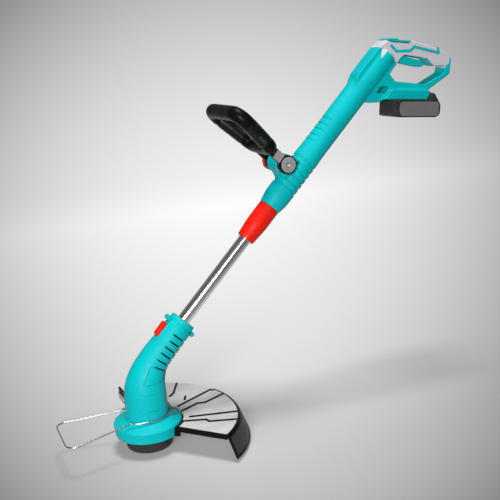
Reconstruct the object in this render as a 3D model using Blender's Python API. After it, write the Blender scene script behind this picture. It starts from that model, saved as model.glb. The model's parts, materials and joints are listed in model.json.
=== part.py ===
"""Cordless string trimmer, built as an assembly of separate pieces, in metres.

The row frame has its origin on the spool's spin axis at the ground contact. +Z runs up that axis, +X runs
back to the user's rear handle, and the wire plant guard points to -X. The user stands behind the rear
handle, so -Y is the user's left side. Pieces along the shaft are drawn in the shaft's own frames and follow
it when its tilt or a station changes.
"""

import math

import bmesh
import bpy
from mathutils import Matrix, Vector

# Fits shared by all pieces
GAP = 0.0003  # between faces that touch
RUN = 0.0006  # around anything that turns or slides
WALL = 0.0025  # moulded shells
WELD = 1e-6  # points nearer than this are one point
FAR = 0.3  # half size of the blocks that cut the shells in two

# Shaft line
SHAFT_TILT = math.radians(45.0)
SHAFT_CROSSING_Z = 0.147  # height at which the shaft's axis meets the spool's axis
TUBE_RADIUS = 0.0125
TUBE_WALL = 0.0012
TUBE_LOW = 0.066  # stations along the shaft, from the crossing
TUBE_TOP = 0.620

# Spool and bump feed, heights above the ground
SPOOL_RADIUS = 0.0443
SPOOL_WALL = 0.0022
BUMP_STANDOFF = 0.003
BUMP_RADIUS = 0.0255
COVER_HEIGHT = 0.021
HUB_HEIGHT = 0.0205
REEL_INSET = 0.0058  # from the spool's outside to the reel's flanges
LINE_INSET = 0.004  # from the flanges' edge to the wound line
REEL_CORE_RADIUS = 0.0155
REEL_BORE_RADIUS = 0.0122
REEL_HEIGHT = 0.0235
SPRING_WIRE_RADIUS = 0.0006
ROTOR_SHAFT_RADIUS = 0.003
ROTOR_INSET = 0.0035  # the rotor's core inside the can's outside
HUB_BOSS_WALL = 0.005
STEM_RADIUS = 0.006  # of the bump button, in the reel
REEL_FLANGE = 0.002
COVER_LIP_RADIUS = 0.003
CLIP_WINDOWS = 6
EYELET_RADIUS = 0.0028
EYELET_BORE = 0.0016
EYELET_HEIGHT = 0.0085  # above the foot of the hub

# Deck and skirt under the motor housing
SKIRT_RADIUS = 0.065
SKIRT_FOOT_RADIUS = 0.0626
SKIRT_BOTTOM_Z = 0.032
SKIRT_RIM_HEIGHT = 0.0225
DECK_RISE = 0.0085
DECK_BORE_RADIUS = 0.011

# Motor and its housing
MOTOR_RADIUS = 0.021
MOTOR_LENGTH = 0.062
BEARING_RADIUS = 0.0080
BEARING_HEIGHT = 0.004
HOUSING_FOOT_RADIUS = 0.0408
HOUSING_WAIST_TAPER = 0.0008
NECK_RADIUS = 0.0272
NECK_CAP_RADIUS = 0.0246
NECK_END = 0.125  # station of the neck's cap
BEND_TANGENT = 0.045  # length of each straight cut off by the bend
VENT_COUNT = 6
VENT_WIDTH = 0.0028
VENT_DEPTH = 0.0018
VENT_PITCH = 0.0135
VENT_FIRST = 0.093  # station of the highest
VENT_REACH = 0.011  # height at which the highest starts
VENT_STEP = 0.0038  # by which each lower one starts lower
OPEN_VENTS = 2  # the lowest, which go through
OPEN_VENT_HALF = 0.018
SLEEVE_WALL = 0.0045
SLEEVE_FLANGE = 0.0035
FLANGE_OFFSET = 0.020  # of the sleeve's flange, above the tube's foot
FLANGE_THICKNESS = 0.004
SEAT_RIB = 0.005  # thickness of the ribs on both sides of the flange
BUTTON_LENGTH = 0.030
BUTTON_HALF_WIDTH = 0.0085
BUTTON_PROUD = 0.0045
BUTTON_STATION = 0.0865
BUTTON_TRAVEL = 0.002
NECK_BOSS_RADIUS = 0.0048
NECK_BOSS_STATION = 0.1120
NECK_BOSS_HALF = 0.0085
NECK_BOSS_SEAT = 0.35  # share of the boss's radius outside the neck
SCREW_RADIUS = 0.0014
SCREW_HEAD_RADIUS = 0.0026
SCREW_HEAD_HEIGHT = 0.0018
SCREW_BLIND = 0.002  # left solid past a screw that joins two halves

# Guard, as polar sizes about the spool's axis
GUARD_START = math.radians(-52.0)
GUARD_END = math.radians(93.0)
NEAR_BAR_TURN = math.radians(-57.5)  # where the near edge bar meets the skirt
LIP_END = math.radians(22.0)
GUARD_TOP_Z = 0.052
GUARD_THICKNESS = 0.0024
GUARD_RADIUS = 0.172
LIP_DEPTH = 0.006
LIP_FLARE = 0.016
LIP_FOOT_Z = 0.0075
LIP_WALL = 0.0026
BAND_WALL = 0.0026
BAND_HEIGHT = 0.017
EDGE_BAR_WIDTH = 0.0036
EDGE_BAR_HEIGHT = 0.0100
PLATE_CUT_WIDTH = 0.06  # of the strip cut off the sheet beside the near bar
RIB_WIDTH = 0.0026
RIB_HEIGHT = 0.0016
BLADE_LENGTH = 0.046
BLADE_HEIGHT = 0.015
BLADE_THICKNESS = 0.0012
BLADE_INSET = 0.035  # from the guard's edge to where the blade starts

# Wire plant guard
WIRE_RADIUS = 0.0015
WIRE_LIFT = 0.0033  # clearance over the deck
WIRE_END_REACH = 0.0107  # from the wire's round on the housing out to its ends
WIRE_END_TURN = math.radians(20.8)
WIRE_END_LIFT = 0.0014
WIRE_LEAVE = math.radians(40.0)  # turns at which the wire leaves the housing, behind and in front
WIRE_KINK = math.radians(142.0)
WIRE_FLARE = 0.0100  # by which it has left the housing's round at the kink
WIRE_STEPS = 12
WIRE_HALF_WIDTH = 0.056
WIRE_REACH = 0.165
WIRE_CORNER = 0.018
WIRE_DROP = 0.0078  # of the wire's front end

# Telescope: collar, collet and rear shaft housing
COLLAR_LOW = 0.319
COLLAR_LENGTH = 0.077
COLLAR_NOSE_RADIUS = 0.0172
COLLAR_RADIUS = 0.0208
COLLAR_BOTTOM_WALL = 0.010
COLLAR_FLUTES = 18
COLLAR_FLUTE_DEPTH = 0.0007
COLLET_WALL = 0.0040
COLLET_SLOT_LENGTH = 0.030
COLLET_SLOT_HALF = 0.0008
COLLET_FLANGE_RADIUS = 0.0208
COLLET_FLANGE_LENGTH = 0.012
HOUSING_RADIUS = 0.0245
HOUSING_SWELL = 0.0009
HOUSING_NOSE_RADIUS = 0.0215
RING_RIBS = 6
RING_RIB_FIRST = 0.048
RING_RIB_PITCH = 0.0125
RING_RIB_DEPTH = 0.0016
PLUG_LENGTH = 0.020
LEAD_RADIUS = 0.0028

# Auxiliary handle; its frame sits on the pivot, with x along the arms
PIVOT_STATION = 0.4745
PIVOT_HEIGHT = 0.0375
LUG_RADIUS = 0.0195
LUG_HALF_WIDTH = 0.021
AUX_ANGLE = math.radians(91.0)
HUB_RADIUS = 0.0178
HUB_THICKNESS = 0.0135
ARM_HALF_HEIGHT = 0.010
ARM_THICKNESS = 0.0105
LOOP_NEAR = 0.051
LOOP_FAR = 0.153
LOOP_NEAR_HALF = 0.047
LOOP_FAR_HALF = 0.066
LOOP_CORNER = 0.020
LOOP_RADIUS = 0.0136
LOOP_CORE_RADIUS = 0.0110
LOOP_SIDES = 10
GRIP_RADIUS = 0.0138
GRIP_END_GAP = 0.003
BOLT_RADIUS = 0.004
BOLT_OVERHANG = 0.010  # past the right hub, inside the knob
CAP_RADIUS = 0.0172
CAP_THICKNESS = 0.0018
KNOB_RADIUS = 0.0172
KNOB_THICKNESS = 0.014
KNOB_LOBES = 6
KNOB_LOBE_DEPTH = 0.0014

# Rear handle; its frame lies on the shaft's axis with x level at the tilt above
HANDLE_STATION = 0.740
HANDLE_ANGLE = math.radians(45.0)
HANDLE_HALF_WIDTH = 0.017
HANDLE_EDGE = 0.006
BARREL_TAIL = 0.040  # from the handle's station to the barrel's end
GRIP_WALL = 0.003
HANDLE_OUTLINE = (
    (-0.068, -0.046), (-0.054, -0.026), (-0.046, -0.0066), (0.003, 0.0420), (0.0257, 0.0575),
    (0.0497, 0.0560), (0.0827, 0.0490), (0.1500, 0.0295), (0.1680, 0.0187), (0.1740, 0.0097),
    (0.1705, -0.0213), (0.1197, -0.0478), (0.1067, -0.0603), (0.0137, -0.0590), (0.0017, -0.0643),
    (-0.0263, -0.0633), (-0.043, -0.051),
)
OPENING_OUTLINE = (
    (0.0257, -0.0113), (0.0387, -0.0263), (0.1107, -0.0373), (0.1560, -0.0178), (0.1590, -0.0033),
    (0.1310, -0.0035), (0.1170, 0.0125), (0.0580, 0.0243), (0.0427, 0.0067),
)
SLOT_OUTLINE = ((0.004, -0.034), (0.0255, -0.0345), (0.0155, -0.0468), (-0.006, -0.046))
COVER_OUTLINE = (
    (-0.030, 0.070), (-0.0105, 0.0475), (0.0097, 0.0387), (0.0037, 0.0197), (0.0192, 0.0335),
    (0.0387, 0.0127), (0.0490, 0.0040), (0.0700, -0.0060), (0.1367, -0.0113), (0.1572, -0.0100),
    (0.1607, -0.0030), (0.1660, -0.0012), (0.1722, 0.0170), (0.1900, 0.0230), (0.190, 0.075),
)
CAVITY_OUTLINE = (
    (0.0067, 0.0337), (0.0267, 0.0530), (0.0487, 0.0518), (0.0807, 0.0452), (0.1367, 0.0300),
    (0.1447, 0.0235), (0.1317, 0.0180), (0.1197, 0.0160), (0.0597, 0.0290), (0.0467, 0.0237),
    (0.0167, 0.0137),
)
STRIPE_PATH = ((0.0310, 0.0420), (0.0425, 0.0312), (0.0745, 0.0302), (0.0845, 0.0372), (0.1420, 0.0222),
               (0.1412, 0.0305))
STRIPE_WIDTH = 0.0046
STRIPE_DEPTH = 0.0012
STRIPE_PROUD = 0.0003
TRIGGER_PIVOT = (0.0600, 0.0262)
TRIGGER_PIN_RADIUS = 0.0018
TRIGGER_HALF_WIDTH = 0.0085
PIN_SEAT = 0.0015  # from the grip's side to the end of the pin's hole
TRIGGER_OUTLINE = (
    (0.0540, 0.0220), (0.0530, 0.0150), (0.0570, 0.0080), (0.0750, 0.0030), (0.0950, -0.0015),
    (0.1080, -0.0035), (0.1125, -0.0005), (0.1135, 0.0045), (0.1110, 0.0085), (0.0900, 0.0135),
    (0.0680, 0.0200), (0.0660, 0.0270), (0.0600, 0.0310), (0.0550, 0.0280),
)
TRIGGER_SLOT_OUTLINE = ((0.0515, 0.0060), (0.1200, -0.0080), (0.1200, 0.0170), (0.1000, 0.0250),
                        (0.0515, 0.0350))
LOCK_OUTLINE = ((0.0195, 0.0555), (0.0329, 0.0508), (0.0709, 0.0461), (0.0757, 0.0482), (0.0757, 0.0502),
                (0.0671, 0.0506), (0.0470, 0.0530), (0.0425, 0.0600), (0.0195, 0.0600))
LOCK_WELL_OUTLINE = ((0.0165, 0.0550), (0.0326, 0.0491), (0.0712, 0.0443), (0.0760, 0.0466), (0.0760, 0.0650),
                     (0.0165, 0.0650))
SWITCH_OUTLINE = ((0.0860, 0.0280), (0.1180, 0.0200), (0.1220, 0.0280), (0.1180, 0.0335), (0.0880, 0.0410))
HOUSING_SCREWS = ((0.1652, -0.0110), (-0.0140, -0.0560), (0.1110, -0.0430))

# Battery rail and pack; their frame leans down to the rear
RAIL_ORIGIN = (0.0097, -0.0588)
RAIL_LEAN = math.radians(5.0)
RAIL_OUTLINE = ((-0.004, 0.0), (0.0143, 0.020), (0.0986, 0.020), (0.1052, 0.0137), (0.0985, 0.0))
RAIL_HALF_WIDTH = 0.026
RAIL_EDGE = 0.002
CHANNEL_START = 0.005
CHANNEL_HALF_WIDTH = 0.0215
CHANNEL_TOP = 0.011
LIP_HALF_WIDTH = 0.0172
TERMINAL_HALF_WIDTH = 0.0145
RAIL_LIP_HEIGHT = 0.0036
GROOVE_HEIGHT = 0.0013
GROOVE_DEPTH = 0.0009
PACK_HALF_WIDTH = 0.036
PACK_EDGE = 0.005
PACK_WALL = 0.0020
PACK_SPLIT = -0.0125
PACK_LOWER_OUTLINE = ((0.0180, -0.0125), (0.0180, -0.0305), (0.0220, -0.0345), (0.1160, -0.0345),
                      (0.1235, -0.0280), (0.1240, -0.0125))
PACK_UPPER_OUTLINE = ((0.0180, -0.0125), (0.0180, -0.0004), (0.0992, -0.0004), (0.1060, 0.0134),
                      (0.1085, 0.0120), (0.1235, -0.0090), (0.1240, -0.0125))
PACK_NOSE = (0.0080, 0.0120)  # length and depth of the chamfers at its two front corners
TONGUE_START = 0.0210
TONGUE_END = 0.096
CELL_RADIUS = 0.0091
CELL_LENGTH = 0.065
CELL_COUNT = 5
CELL_PITCH = 0.0185
CELL_FIRST = 0.0358
LATCH_OUTLINE = ((0.1064, 0.0040), (0.1064, 0.0165), (0.1085, 0.0175), (0.1130, 0.0120), (0.1135, 0.0040))
LATCH_HALF_WIDTH = 0.0190

# Heights and stations that follow from the sizes above
SHAFT_TILT_FROM_UP = math.pi / 2 - SHAFT_TILT
SKIRT_RIM_Z = SKIRT_BOTTOM_Z + SKIRT_RIM_HEIGHT
DECK_Z = SKIRT_RIM_Z + DECK_RISE
FOOT_Z = DECK_Z + GAP
COVER_TOP_Z = BUMP_STANDOFF + COVER_HEIGHT
HUB_TOP_Z = COVER_TOP_Z + GAP + HUB_HEIGHT
HUB_UNDER_Z = HUB_TOP_Z - SPOOL_WALL
REEL_LOW_Z = BUMP_STANDOFF + WALL + 0.0035
REEL_RADIUS = SPOOL_RADIUS - REEL_INSET
REEL_TOP_Z = REEL_LOW_Z + REEL_HEIGHT
MOTOR_TOP_Z = FOOT_Z + MOTOR_LENGTH
SLEEVE_RADIUS = TUBE_RADIUS + GAP + SLEEVE_WALL
COLLAR_TOP = COLLAR_LOW + COLLAR_LENGTH
HOUSING_LOW = COLLAR_TOP + GAP
COLLET_RADIUS = TUBE_RADIUS + GAP + COLLET_WALL
HOUSING_BORE = HOUSING_RADIUS - WALL
HOUSING_WAIST_RADIUS = HOUSING_FOOT_RADIUS - HOUSING_WAIST_TAPER
BEND_RADIUS = BEND_TANGENT / math.tan(SHAFT_TILT_FROM_UP / 2)
WIRE_HUG_RADIUS = HOUSING_FOOT_RADIUS + RUN + WIRE_RADIUS + GAP
WIRE_END_RADIUS = WIRE_HUG_RADIUS + WIRE_END_REACH
WIRE_END_X = WIRE_END_RADIUS * math.cos(WIRE_END_TURN)
WIRE_END_Y = WIRE_END_RADIUS * math.sin(WIRE_END_TURN)
WIRE_Z = DECK_Z + WIRE_LIFT + WIRE_RADIUS
PLATE_LOW_Z = GUARD_TOP_Z - GUARD_THICKNESS
LIP_RADIUS = GUARD_RADIUS + LIP_DEPTH
LIP_FOOT_RADIUS = LIP_RADIUS + LIP_FLARE
BLADE_RADIUS = GUARD_RADIUS - BLADE_INSET
DECK_FLAT_RADIUS = HOUSING_FOOT_RADIUS + 0.002
DECK_CONE_RADIUS = DECK_FLAT_RADIUS + 0.003
DECK_RIM_RADIUS = SKIRT_RADIUS - 0.0015
HUB_OUTER_Y = LUG_HALF_WIDTH + GAP + HUB_THICKNESS
NECK_BOSS_HEIGHT = NECK_RADIUS + NECK_BOSS_RADIUS * NECK_BOSS_SEAT
BOLT_END_Y = HUB_OUTER_Y + BOLT_OVERHANG

# Frames: each maps a local point to the row frame
SHAFT = Matrix.Translation((0.0, 0.0, SHAFT_CROSSING_Z)) @ Matrix.Rotation(math.pi / 2 - SHAFT_TILT, 4, "Y")
SIDE = SHAFT @ Matrix.Rotation(-math.pi / 2, 4, "Y")
HANDLE = SIDE @ Matrix.Translation((HANDLE_STATION, 0.0, 0.0)) @ Matrix.Rotation(HANDLE_ANGLE, 4, "Y")
RAIL = HANDLE @ Matrix.Translation((RAIL_ORIGIN[0], 0.0, RAIL_ORIGIN[1])) @ Matrix.Rotation(RAIL_LEAN, 4, "Y")
PIVOT = SIDE @ Matrix.Translation((PIVOT_STATION, 0.0, PIVOT_HEIGHT))
AUX = PIVOT @ Matrix.Rotation(-AUX_ANGLE, 4, "Y")
WORLD = Matrix.Identity(4)
ALONG_Y = Matrix.Rotation(-math.pi / 2, 4, "X")
ALONG_X = Matrix.Rotation(-math.pi / 2, 4, "Z")

TEAL = ("teal_plastic", (0.0, 0.42, 0.45), 0.35, 0.0)
WHITE = ("white_plastic", (0.80, 0.79, 0.81), 0.40, 0.0)
RED = ("red_plastic", (0.80, 0.03, 0.01), 0.35, 0.0)
BLACK = ("black_plastic", (0.012, 0.012, 0.013), 0.30, 0.0)
RUBBER = ("black_rubber", (0.02, 0.02, 0.02), 0.55, 0.0)
GREY = ("dark_grey_plastic", (0.06, 0.06, 0.065), 0.50, 0.0)
SMOKE = ("smoked_sheet", (0.45, 0.45, 0.46), 0.20, 0.0)
ALUMINIUM = ("aluminium_tube", (0.80, 0.80, 0.82), 0.30, 1.0)
STEEL = ("steel", (0.55, 0.55, 0.56), 0.35, 1.0)
CHROME = ("chrome_wire", (0.80, 0.80, 0.80), 0.12, 1.0)
SILVER = ("silver_paint", (0.42, 0.42, 0.43), 0.45, 0.3)
NYLON = ("nylon_line", (0.75, 0.35, 0.05), 0.40, 0.0)
CELL = ("cell_wrap", (0.05, 0.20, 0.45), 0.40, 0.0)
LEAD = ("lead_jacket", (0.02, 0.02, 0.02), 0.60, 0.0)


def finish(spec):
    """The material of a (name, colour, roughness, metallic) row, made once."""
    name, colour, roughness, metallic = spec
    found = bpy.data.materials.get(name)
    if found:
        return found
    made = bpy.data.materials.new(name)
    made.use_nodes = True
    shader = made.node_tree.nodes["Principled BSDF"]
    shader.inputs["Base Color"].default_value = (*colour, 1.0)
    shader.inputs["Roughness"].default_value = roughness
    shader.inputs["Metallic"].default_value = metallic
    return made


def add_object(name, mesh, spec):
    """Link a mesh as an object with one material, smooth where it is round."""
    mesh.materials.clear()
    mesh.materials.append(finish(spec))
    mesh.shade_smooth()
    mesh.set_sharp_from_angle(angle=math.radians(35.0))
    made = bpy.data.objects.new(name, mesh)
    bpy.context.scene.collection.objects.link(made)
    return made


def solid_of_rings(name, rings, spec, frame=WORLD, closed=False):
    """A closed solid whose skin runs from ring to ring, capped at its ends or closed on itself."""
    bm = bmesh.new()
    loops = [[bm.verts.new(point) for point in ring] for ring in rings]
    pairs = list(zip(loops, loops[1:]))
    if closed:
        pairs.append((loops[-1], loops[0]))
    for low, high in pairs:
        for i, corner in enumerate(low):
            j = (i + 1) % len(low)
            bm.faces.new((corner, low[j], high[j], high[i]))
    if not closed:
        bm.faces.new(loops[0])
        bm.faces.new(loops[-1])
    bmesh.ops.remove_doubles(bm, verts=bm.verts, dist=WELD)
    bm.transform(frame)
    bm.normal_update()
    bmesh.ops.recalc_face_normals(bm, faces=bm.faces)
    mesh = bpy.data.meshes.new(name)
    bm.to_mesh(mesh)
    bm.free()
    return add_object(name, mesh, spec)


def area_of(outline):
    """The signed area of a flat outline, positive when it runs anticlockwise."""
    pairs = zip(outline, outline[1:] + outline[:1])
    return sum(a[0] * b[1] - b[0] * a[1] for a, b in pairs) / 2


def grown(outline, distance):
    """The outline moved outwards by distance along its mitred corners, or inwards if negative."""
    points = [Vector(point) for point in outline]
    if area_of([tuple(point) for point in points]) < 0:
        distance = -distance
    moved = []
    for i, point in enumerate(points):
        before = (point - points[i - 1]).normalized()
        after = (points[(i + 1) % len(points)] - point).normalized()
        first = Vector((before.y, -before.x))
        second = Vector((after.y, -after.x))
        mitre = (first + second).normalized()
        moved.append(tuple(point + mitre * distance / max(0.35, mitre.dot(first))))
    return moved


def prism(name, outline, y_low, y_high, spec, frame=WORLD, edge=0.0, steps=2):
    """An outline in the frame's XZ plane, drawn out along Y with its two rims rounded by edge."""
    layers = [(y_low, 0.0), (y_high, 0.0)]
    if edge > 0:
        turns = [math.pi / 2 * step / steps for step in range(steps + 1)]
        low = [(y_low + edge * (1 - math.cos(turn)), edge * (1 - math.sin(turn))) for turn in turns]
        layers = low + [(y_high + y_low - y, inset) for y, inset in reversed(low)]
    rings = [[(x, y, z) for x, z in grown(outline, -inset)] for y, inset in layers]
    return solid_of_rings(name, rings, spec, frame)


def box(name, low, high, spec, frame=WORLD):
    """A block between two corners of the frame."""
    outline = ((low[0], low[2]), (high[0], low[2]), (high[0], high[2]), (low[0], high[2]))
    return prism(name, outline, low[1], high[1], spec, frame)


def lathe(name, profile, spec, frame=WORLD, segments=32, start=0.0, sweep=2 * math.pi):
    """A closed (radius, height) profile turned about the frame's Z axis."""
    whole = sweep > 2 * math.pi - WELD
    count = segments if whole else segments + 1
    rings = []
    for step in range(count):
        turn = start + sweep * step / segments
        rings.append([(r * math.cos(turn), r * math.sin(turn), z) for r, z in profile])
    return solid_of_rings(name, rings, spec, frame, closed=whole)


def sleeve(name, inner, outer, low, high, spec, frame=WORLD, segments=32):
    """A plain ring."""
    return lathe(name, ((inner, low), (outer, low), (outer, high), (inner, high)), spec, frame, segments)


def rod(name, radius, low, high, spec, frame=WORLD, segments=16):
    """A plain round bar."""
    return lathe(name, ((0.0, low), (radius, low), (radius, high), (0.0, high)), spec, frame, segments)


def screw(name, frame, length, spec=STEEL):
    """A pan-head screw whose head stands on the frame's origin and whose shank runs to -Z."""
    profile = (
        (0.0, -length), (SCREW_RADIUS, -length), (SCREW_RADIUS, 0.0), (SCREW_HEAD_RADIUS, 0.0),
        (SCREW_HEAD_RADIUS, SCREW_HEAD_HEIGHT * 0.6), (SCREW_HEAD_RADIUS * 0.6, SCREW_HEAD_HEIGHT),
        (0.0, SCREW_HEAD_HEIGHT),
    )
    return lathe(name, profile, spec, frame, segments=12)


def screw_hole(frame, length):
    """The cutter for a screw's shank, a little deeper than the screw."""
    return rod("cutter", SCREW_RADIUS + GAP, -length - GAP, SCREW_HEAD_HEIGHT, STEEL, frame, segments=12)


def combine(target, other, operation, keep=False):
    """Apply an exact Boolean to target, and remove the other object unless it is kept."""
    boolean = target.modifiers.new(operation.lower(), "BOOLEAN")
    boolean.operation = operation
    boolean.object = other
    bpy.context.view_layer.update()
    graph = bpy.context.evaluated_depsgraph_get()
    mesh = bpy.data.meshes.new_from_object(target.evaluated_get(graph))
    target.modifiers.clear()
    old = target.data
    first = old.materials[0]
    target.data = mesh
    mesh.materials.clear()
    mesh.materials.append(first)
    for face in mesh.polygons:
        face.material_index = 0
    bpy.data.meshes.remove(old)
    if not keep:
        bpy.data.objects.remove(other)
    return target


def join(target, *others):
    """Unite other solids with target."""
    for other in others:
        combine(target, other, "UNION")
    return target


def cut(target, *others, keep=False):
    """Cut other solids out of target."""
    for other in others:
        combine(target, other, "DIFFERENCE", keep)
    return target


def copy_of(source, name, spec=None, mirrored=False):
    """A copy of an object's mesh, mirrored across the middle plane if asked."""
    bm = bmesh.new()
    bm.from_mesh(source.data)
    if mirrored:
        bmesh.ops.scale(bm, vec=(1.0, -1.0, 1.0), verts=bm.verts)
        bmesh.ops.reverse_faces(bm, faces=bm.faces)
    mesh = bpy.data.meshes.new(name)
    bm.to_mesh(mesh)
    bm.free()
    made = add_object(name, mesh, TEAL)
    mesh.materials.clear()
    mesh.materials.append(finish(spec) if spec else source.data.materials[0])
    return made


def other_half(left, name, axes=(), depth=0.0):
    """The mirror image of a left half, drilled right through for screws that are blind in the left half."""
    through = copy_of(left, "through")
    for axis in axes:
        cut(through, rod("cutter", SCREW_RADIUS + GAP, -2 * depth, depth, TEAL, axis, 12))
        cut(left, rod("cutter", SCREW_RADIUS + GAP, -depth, depth, TEAL, axis, 12))
    made = copy_of(through, name, mirrored=True)
    bpy.data.objects.remove(through)
    return made


def left_half():
    """The block that leaves the left half of a shell, just short of the middle plane."""
    return box("cutter", (-FAR, -FAR, -FAR), (4 * FAR, -GAP / 2, 4 * FAR), TEAL)


def on_joint(name, point, pieces):
    """Parent pieces to an empty that stands on their joint's axis."""
    pivot = bpy.data.objects.new(name, None)
    pivot.location = point
    bpy.context.scene.collection.objects.link(pivot)
    bpy.context.view_layer.update()
    for piece in pieces:
        piece.parent = pivot
        piece.matrix_parent_inverse = pivot.matrix_world.inverted()


def along_y(frame, x, z):
    """A frame at (x, z) of another frame, with its Z axis along +Y."""
    return frame @ Matrix.Translation((x, 0.0, z)) @ ALONG_Y


def circle(radius, count, x=0.0, z=0.0, start=0.0, sweep=2 * math.pi):
    """Points of a circle, or of an arc with both ends when it is not whole."""
    whole = abs(sweep) > 2 * math.pi - WELD
    last = count if whole else count - 1
    turns = [start + sweep * step / last for step in range(count)]
    return [(x + radius * math.cos(turn), z + radius * math.sin(turn)) for turn in turns]


def bar_outline(path, width):
    """The outline of a flat bar of the given width that follows an open path."""
    points = [Vector(point) for point in path]
    left = []
    right = []
    for i, point in enumerate(points):
        before = (point - points[i - 1]).normalized() if i else None
        after = (points[i + 1] - point).normalized() if i + 1 < len(points) else before
        before = before or after
        first = Vector((-before.y, before.x))
        second = Vector((-after.y, after.x))
        mitre = (first + second).normalized()
        reach = width / 2 / max(0.5, mitre.dot(first))
        left.append(tuple(point + mitre * reach))
        right.append(tuple(point - mitre * reach))
    return left + right[::-1]


def tee_outline(neck, head, low, shoulder, high):
    """The outline of a T: a neck that rises from low to the shoulder, with a wider head up to high."""
    half = [(neck, low), (neck, shoulder), (head, shoulder), (head, high)]
    return half + [(-x, z) for x, z in reversed(half)]


def build_spool():
    """The parts that spin with the motor: rotor, hub and cover."""
    rotor = lathe("motor_rotor", (
        (0.0, HUB_UNDER_Z - 0.003), (ROTOR_SHAFT_RADIUS, HUB_UNDER_Z - 0.003),
        (ROTOR_SHAFT_RADIUS, FOOT_Z + 0.008), (MOTOR_RADIUS - ROTOR_INSET, FOOT_Z + 0.010),
        (MOTOR_RADIUS - ROTOR_INSET, MOTOR_TOP_Z - 0.012), (ROTOR_SHAFT_RADIUS, MOTOR_TOP_Z - 0.010),
        (ROTOR_SHAFT_RADIUS, MOTOR_TOP_Z - ROTOR_INSET), (0.0, MOTOR_TOP_Z - ROTOR_INSET),
    ), STEEL, segments=24)
    low = COVER_TOP_Z + GAP
    boss = ROTOR_SHAFT_RADIUS + HUB_BOSS_WALL
    hub = lathe("spool_hub", (
        (ROTOR_SHAFT_RADIUS + GAP, HUB_UNDER_Z - 0.004), (boss, HUB_UNDER_Z - 0.004),
        (boss, HUB_UNDER_Z), (SPOOL_RADIUS - SPOOL_WALL, HUB_UNDER_Z), (SPOOL_RADIUS - SPOOL_WALL, low),
        (SPOOL_RADIUS, low), (SPOOL_RADIUS, HUB_TOP_Z - 0.002), (SPOOL_RADIUS - 0.002, HUB_TOP_Z),
        (boss, HUB_TOP_Z), (boss, HUB_TOP_Z + 0.005), (ROTOR_SHAFT_RADIUS + GAP, HUB_TOP_Z + 0.005),
    ), GREY, segments=24)
    cover = lathe("spool_cover", (
        (BUMP_RADIUS + RUN, BUMP_STANDOFF), (SPOOL_RADIUS - COVER_LIP_RADIUS, BUMP_STANDOFF),
        (SPOOL_RADIUS, BUMP_STANDOFF + COVER_LIP_RADIUS), (SPOOL_RADIUS, COVER_TOP_Z),
        (SPOOL_RADIUS - SPOOL_WALL, COVER_TOP_Z), (SPOOL_RADIUS - SPOOL_WALL, BUMP_STANDOFF + WALL),
        (BUMP_RADIUS + RUN, BUMP_STANDOFF + WALL),
    ), GREY, segments=24)
    for window in range(CLIP_WINDOWS):
        turn = Matrix.Rotation(2 * math.pi * window / CLIP_WINDOWS, 4, "Z")
        cut(cover, box("cutter", (SPOOL_RADIUS - 0.004, -0.006, COVER_TOP_Z - 0.009),
                       (SPOOL_RADIUS + 0.002, 0.006, COVER_TOP_Z - 0.0065), GREY, turn))
    eyelets = []
    for index, turn in ((1, 0.0), (2, math.pi)):
        where = Matrix.Rotation(turn, 4, "Z") @ Matrix.Translation((SPOOL_RADIUS, 0, low + EYELET_HEIGHT))
        frame = where @ Matrix.Rotation(math.pi / 2, 4, "Y")
        cut(hub, rod("cutter", EYELET_RADIUS + GAP, -2 * SPOOL_WALL, 0.01, STEEL, frame, 14))
        profile = ((EYELET_BORE, -SPOOL_WALL), (EYELET_RADIUS, -SPOOL_WALL), (EYELET_RADIUS, GAP),
                   (EYELET_RADIUS + 0.0012, GAP), (EYELET_RADIUS + 0.0008, 0.0014), (EYELET_BORE, 0.0014))
        eyelets.append(lathe(f"line_eyelet_{index}", profile, STEEL, frame, 14))
    return [rotor, hub, cover] + eyelets


def build_bump_feed():
    """The button that is bumped on the ground, with the reel, its line and its spring."""
    button = lathe("bump_button", (
        (0.0, 0.0), (BUMP_RADIUS - 0.006, 0.0), (BUMP_RADIUS, 0.003), (BUMP_RADIUS, REEL_LOW_Z - GAP),
        (STEM_RADIUS, REEL_LOW_Z - GAP), (STEM_RADIUS, REEL_LOW_Z + WALL + 0.002), (0.0, REEL_LOW_Z + WALL + 0.002),
    ), GREY, segments=28)
    flange = REEL_FLANGE
    reel = lathe("spool_reel", (
        (STEM_RADIUS + GAP, REEL_LOW_Z), (REEL_RADIUS, REEL_LOW_Z), (REEL_RADIUS, REEL_LOW_Z + flange),
        (REEL_CORE_RADIUS, REEL_LOW_Z + flange), (REEL_CORE_RADIUS, REEL_TOP_Z - flange),
        (REEL_RADIUS, REEL_TOP_Z - flange), (REEL_RADIUS, REEL_TOP_Z), (REEL_BORE_RADIUS, REEL_TOP_Z),
        (REEL_BORE_RADIUS, REEL_LOW_Z + WALL), (STEM_RADIUS + GAP, REEL_LOW_Z + WALL),
    ), BLACK, segments=28)
    line = sleeve("wound_line", REEL_CORE_RADIUS + GAP, REEL_RADIUS - LINE_INSET, REEL_LOW_Z + flange + GAP,
                  REEL_TOP_Z - flange - GAP, NYLON, segments=28)
    spring = coil("spool_spring", REEL_BORE_RADIUS - 0.0012, SPRING_WIRE_RADIUS, REEL_LOW_Z + WALL + 0.0012,
                  HUB_UNDER_Z - 0.0012, turns=4)
    return [button, reel, line, spring]


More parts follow.
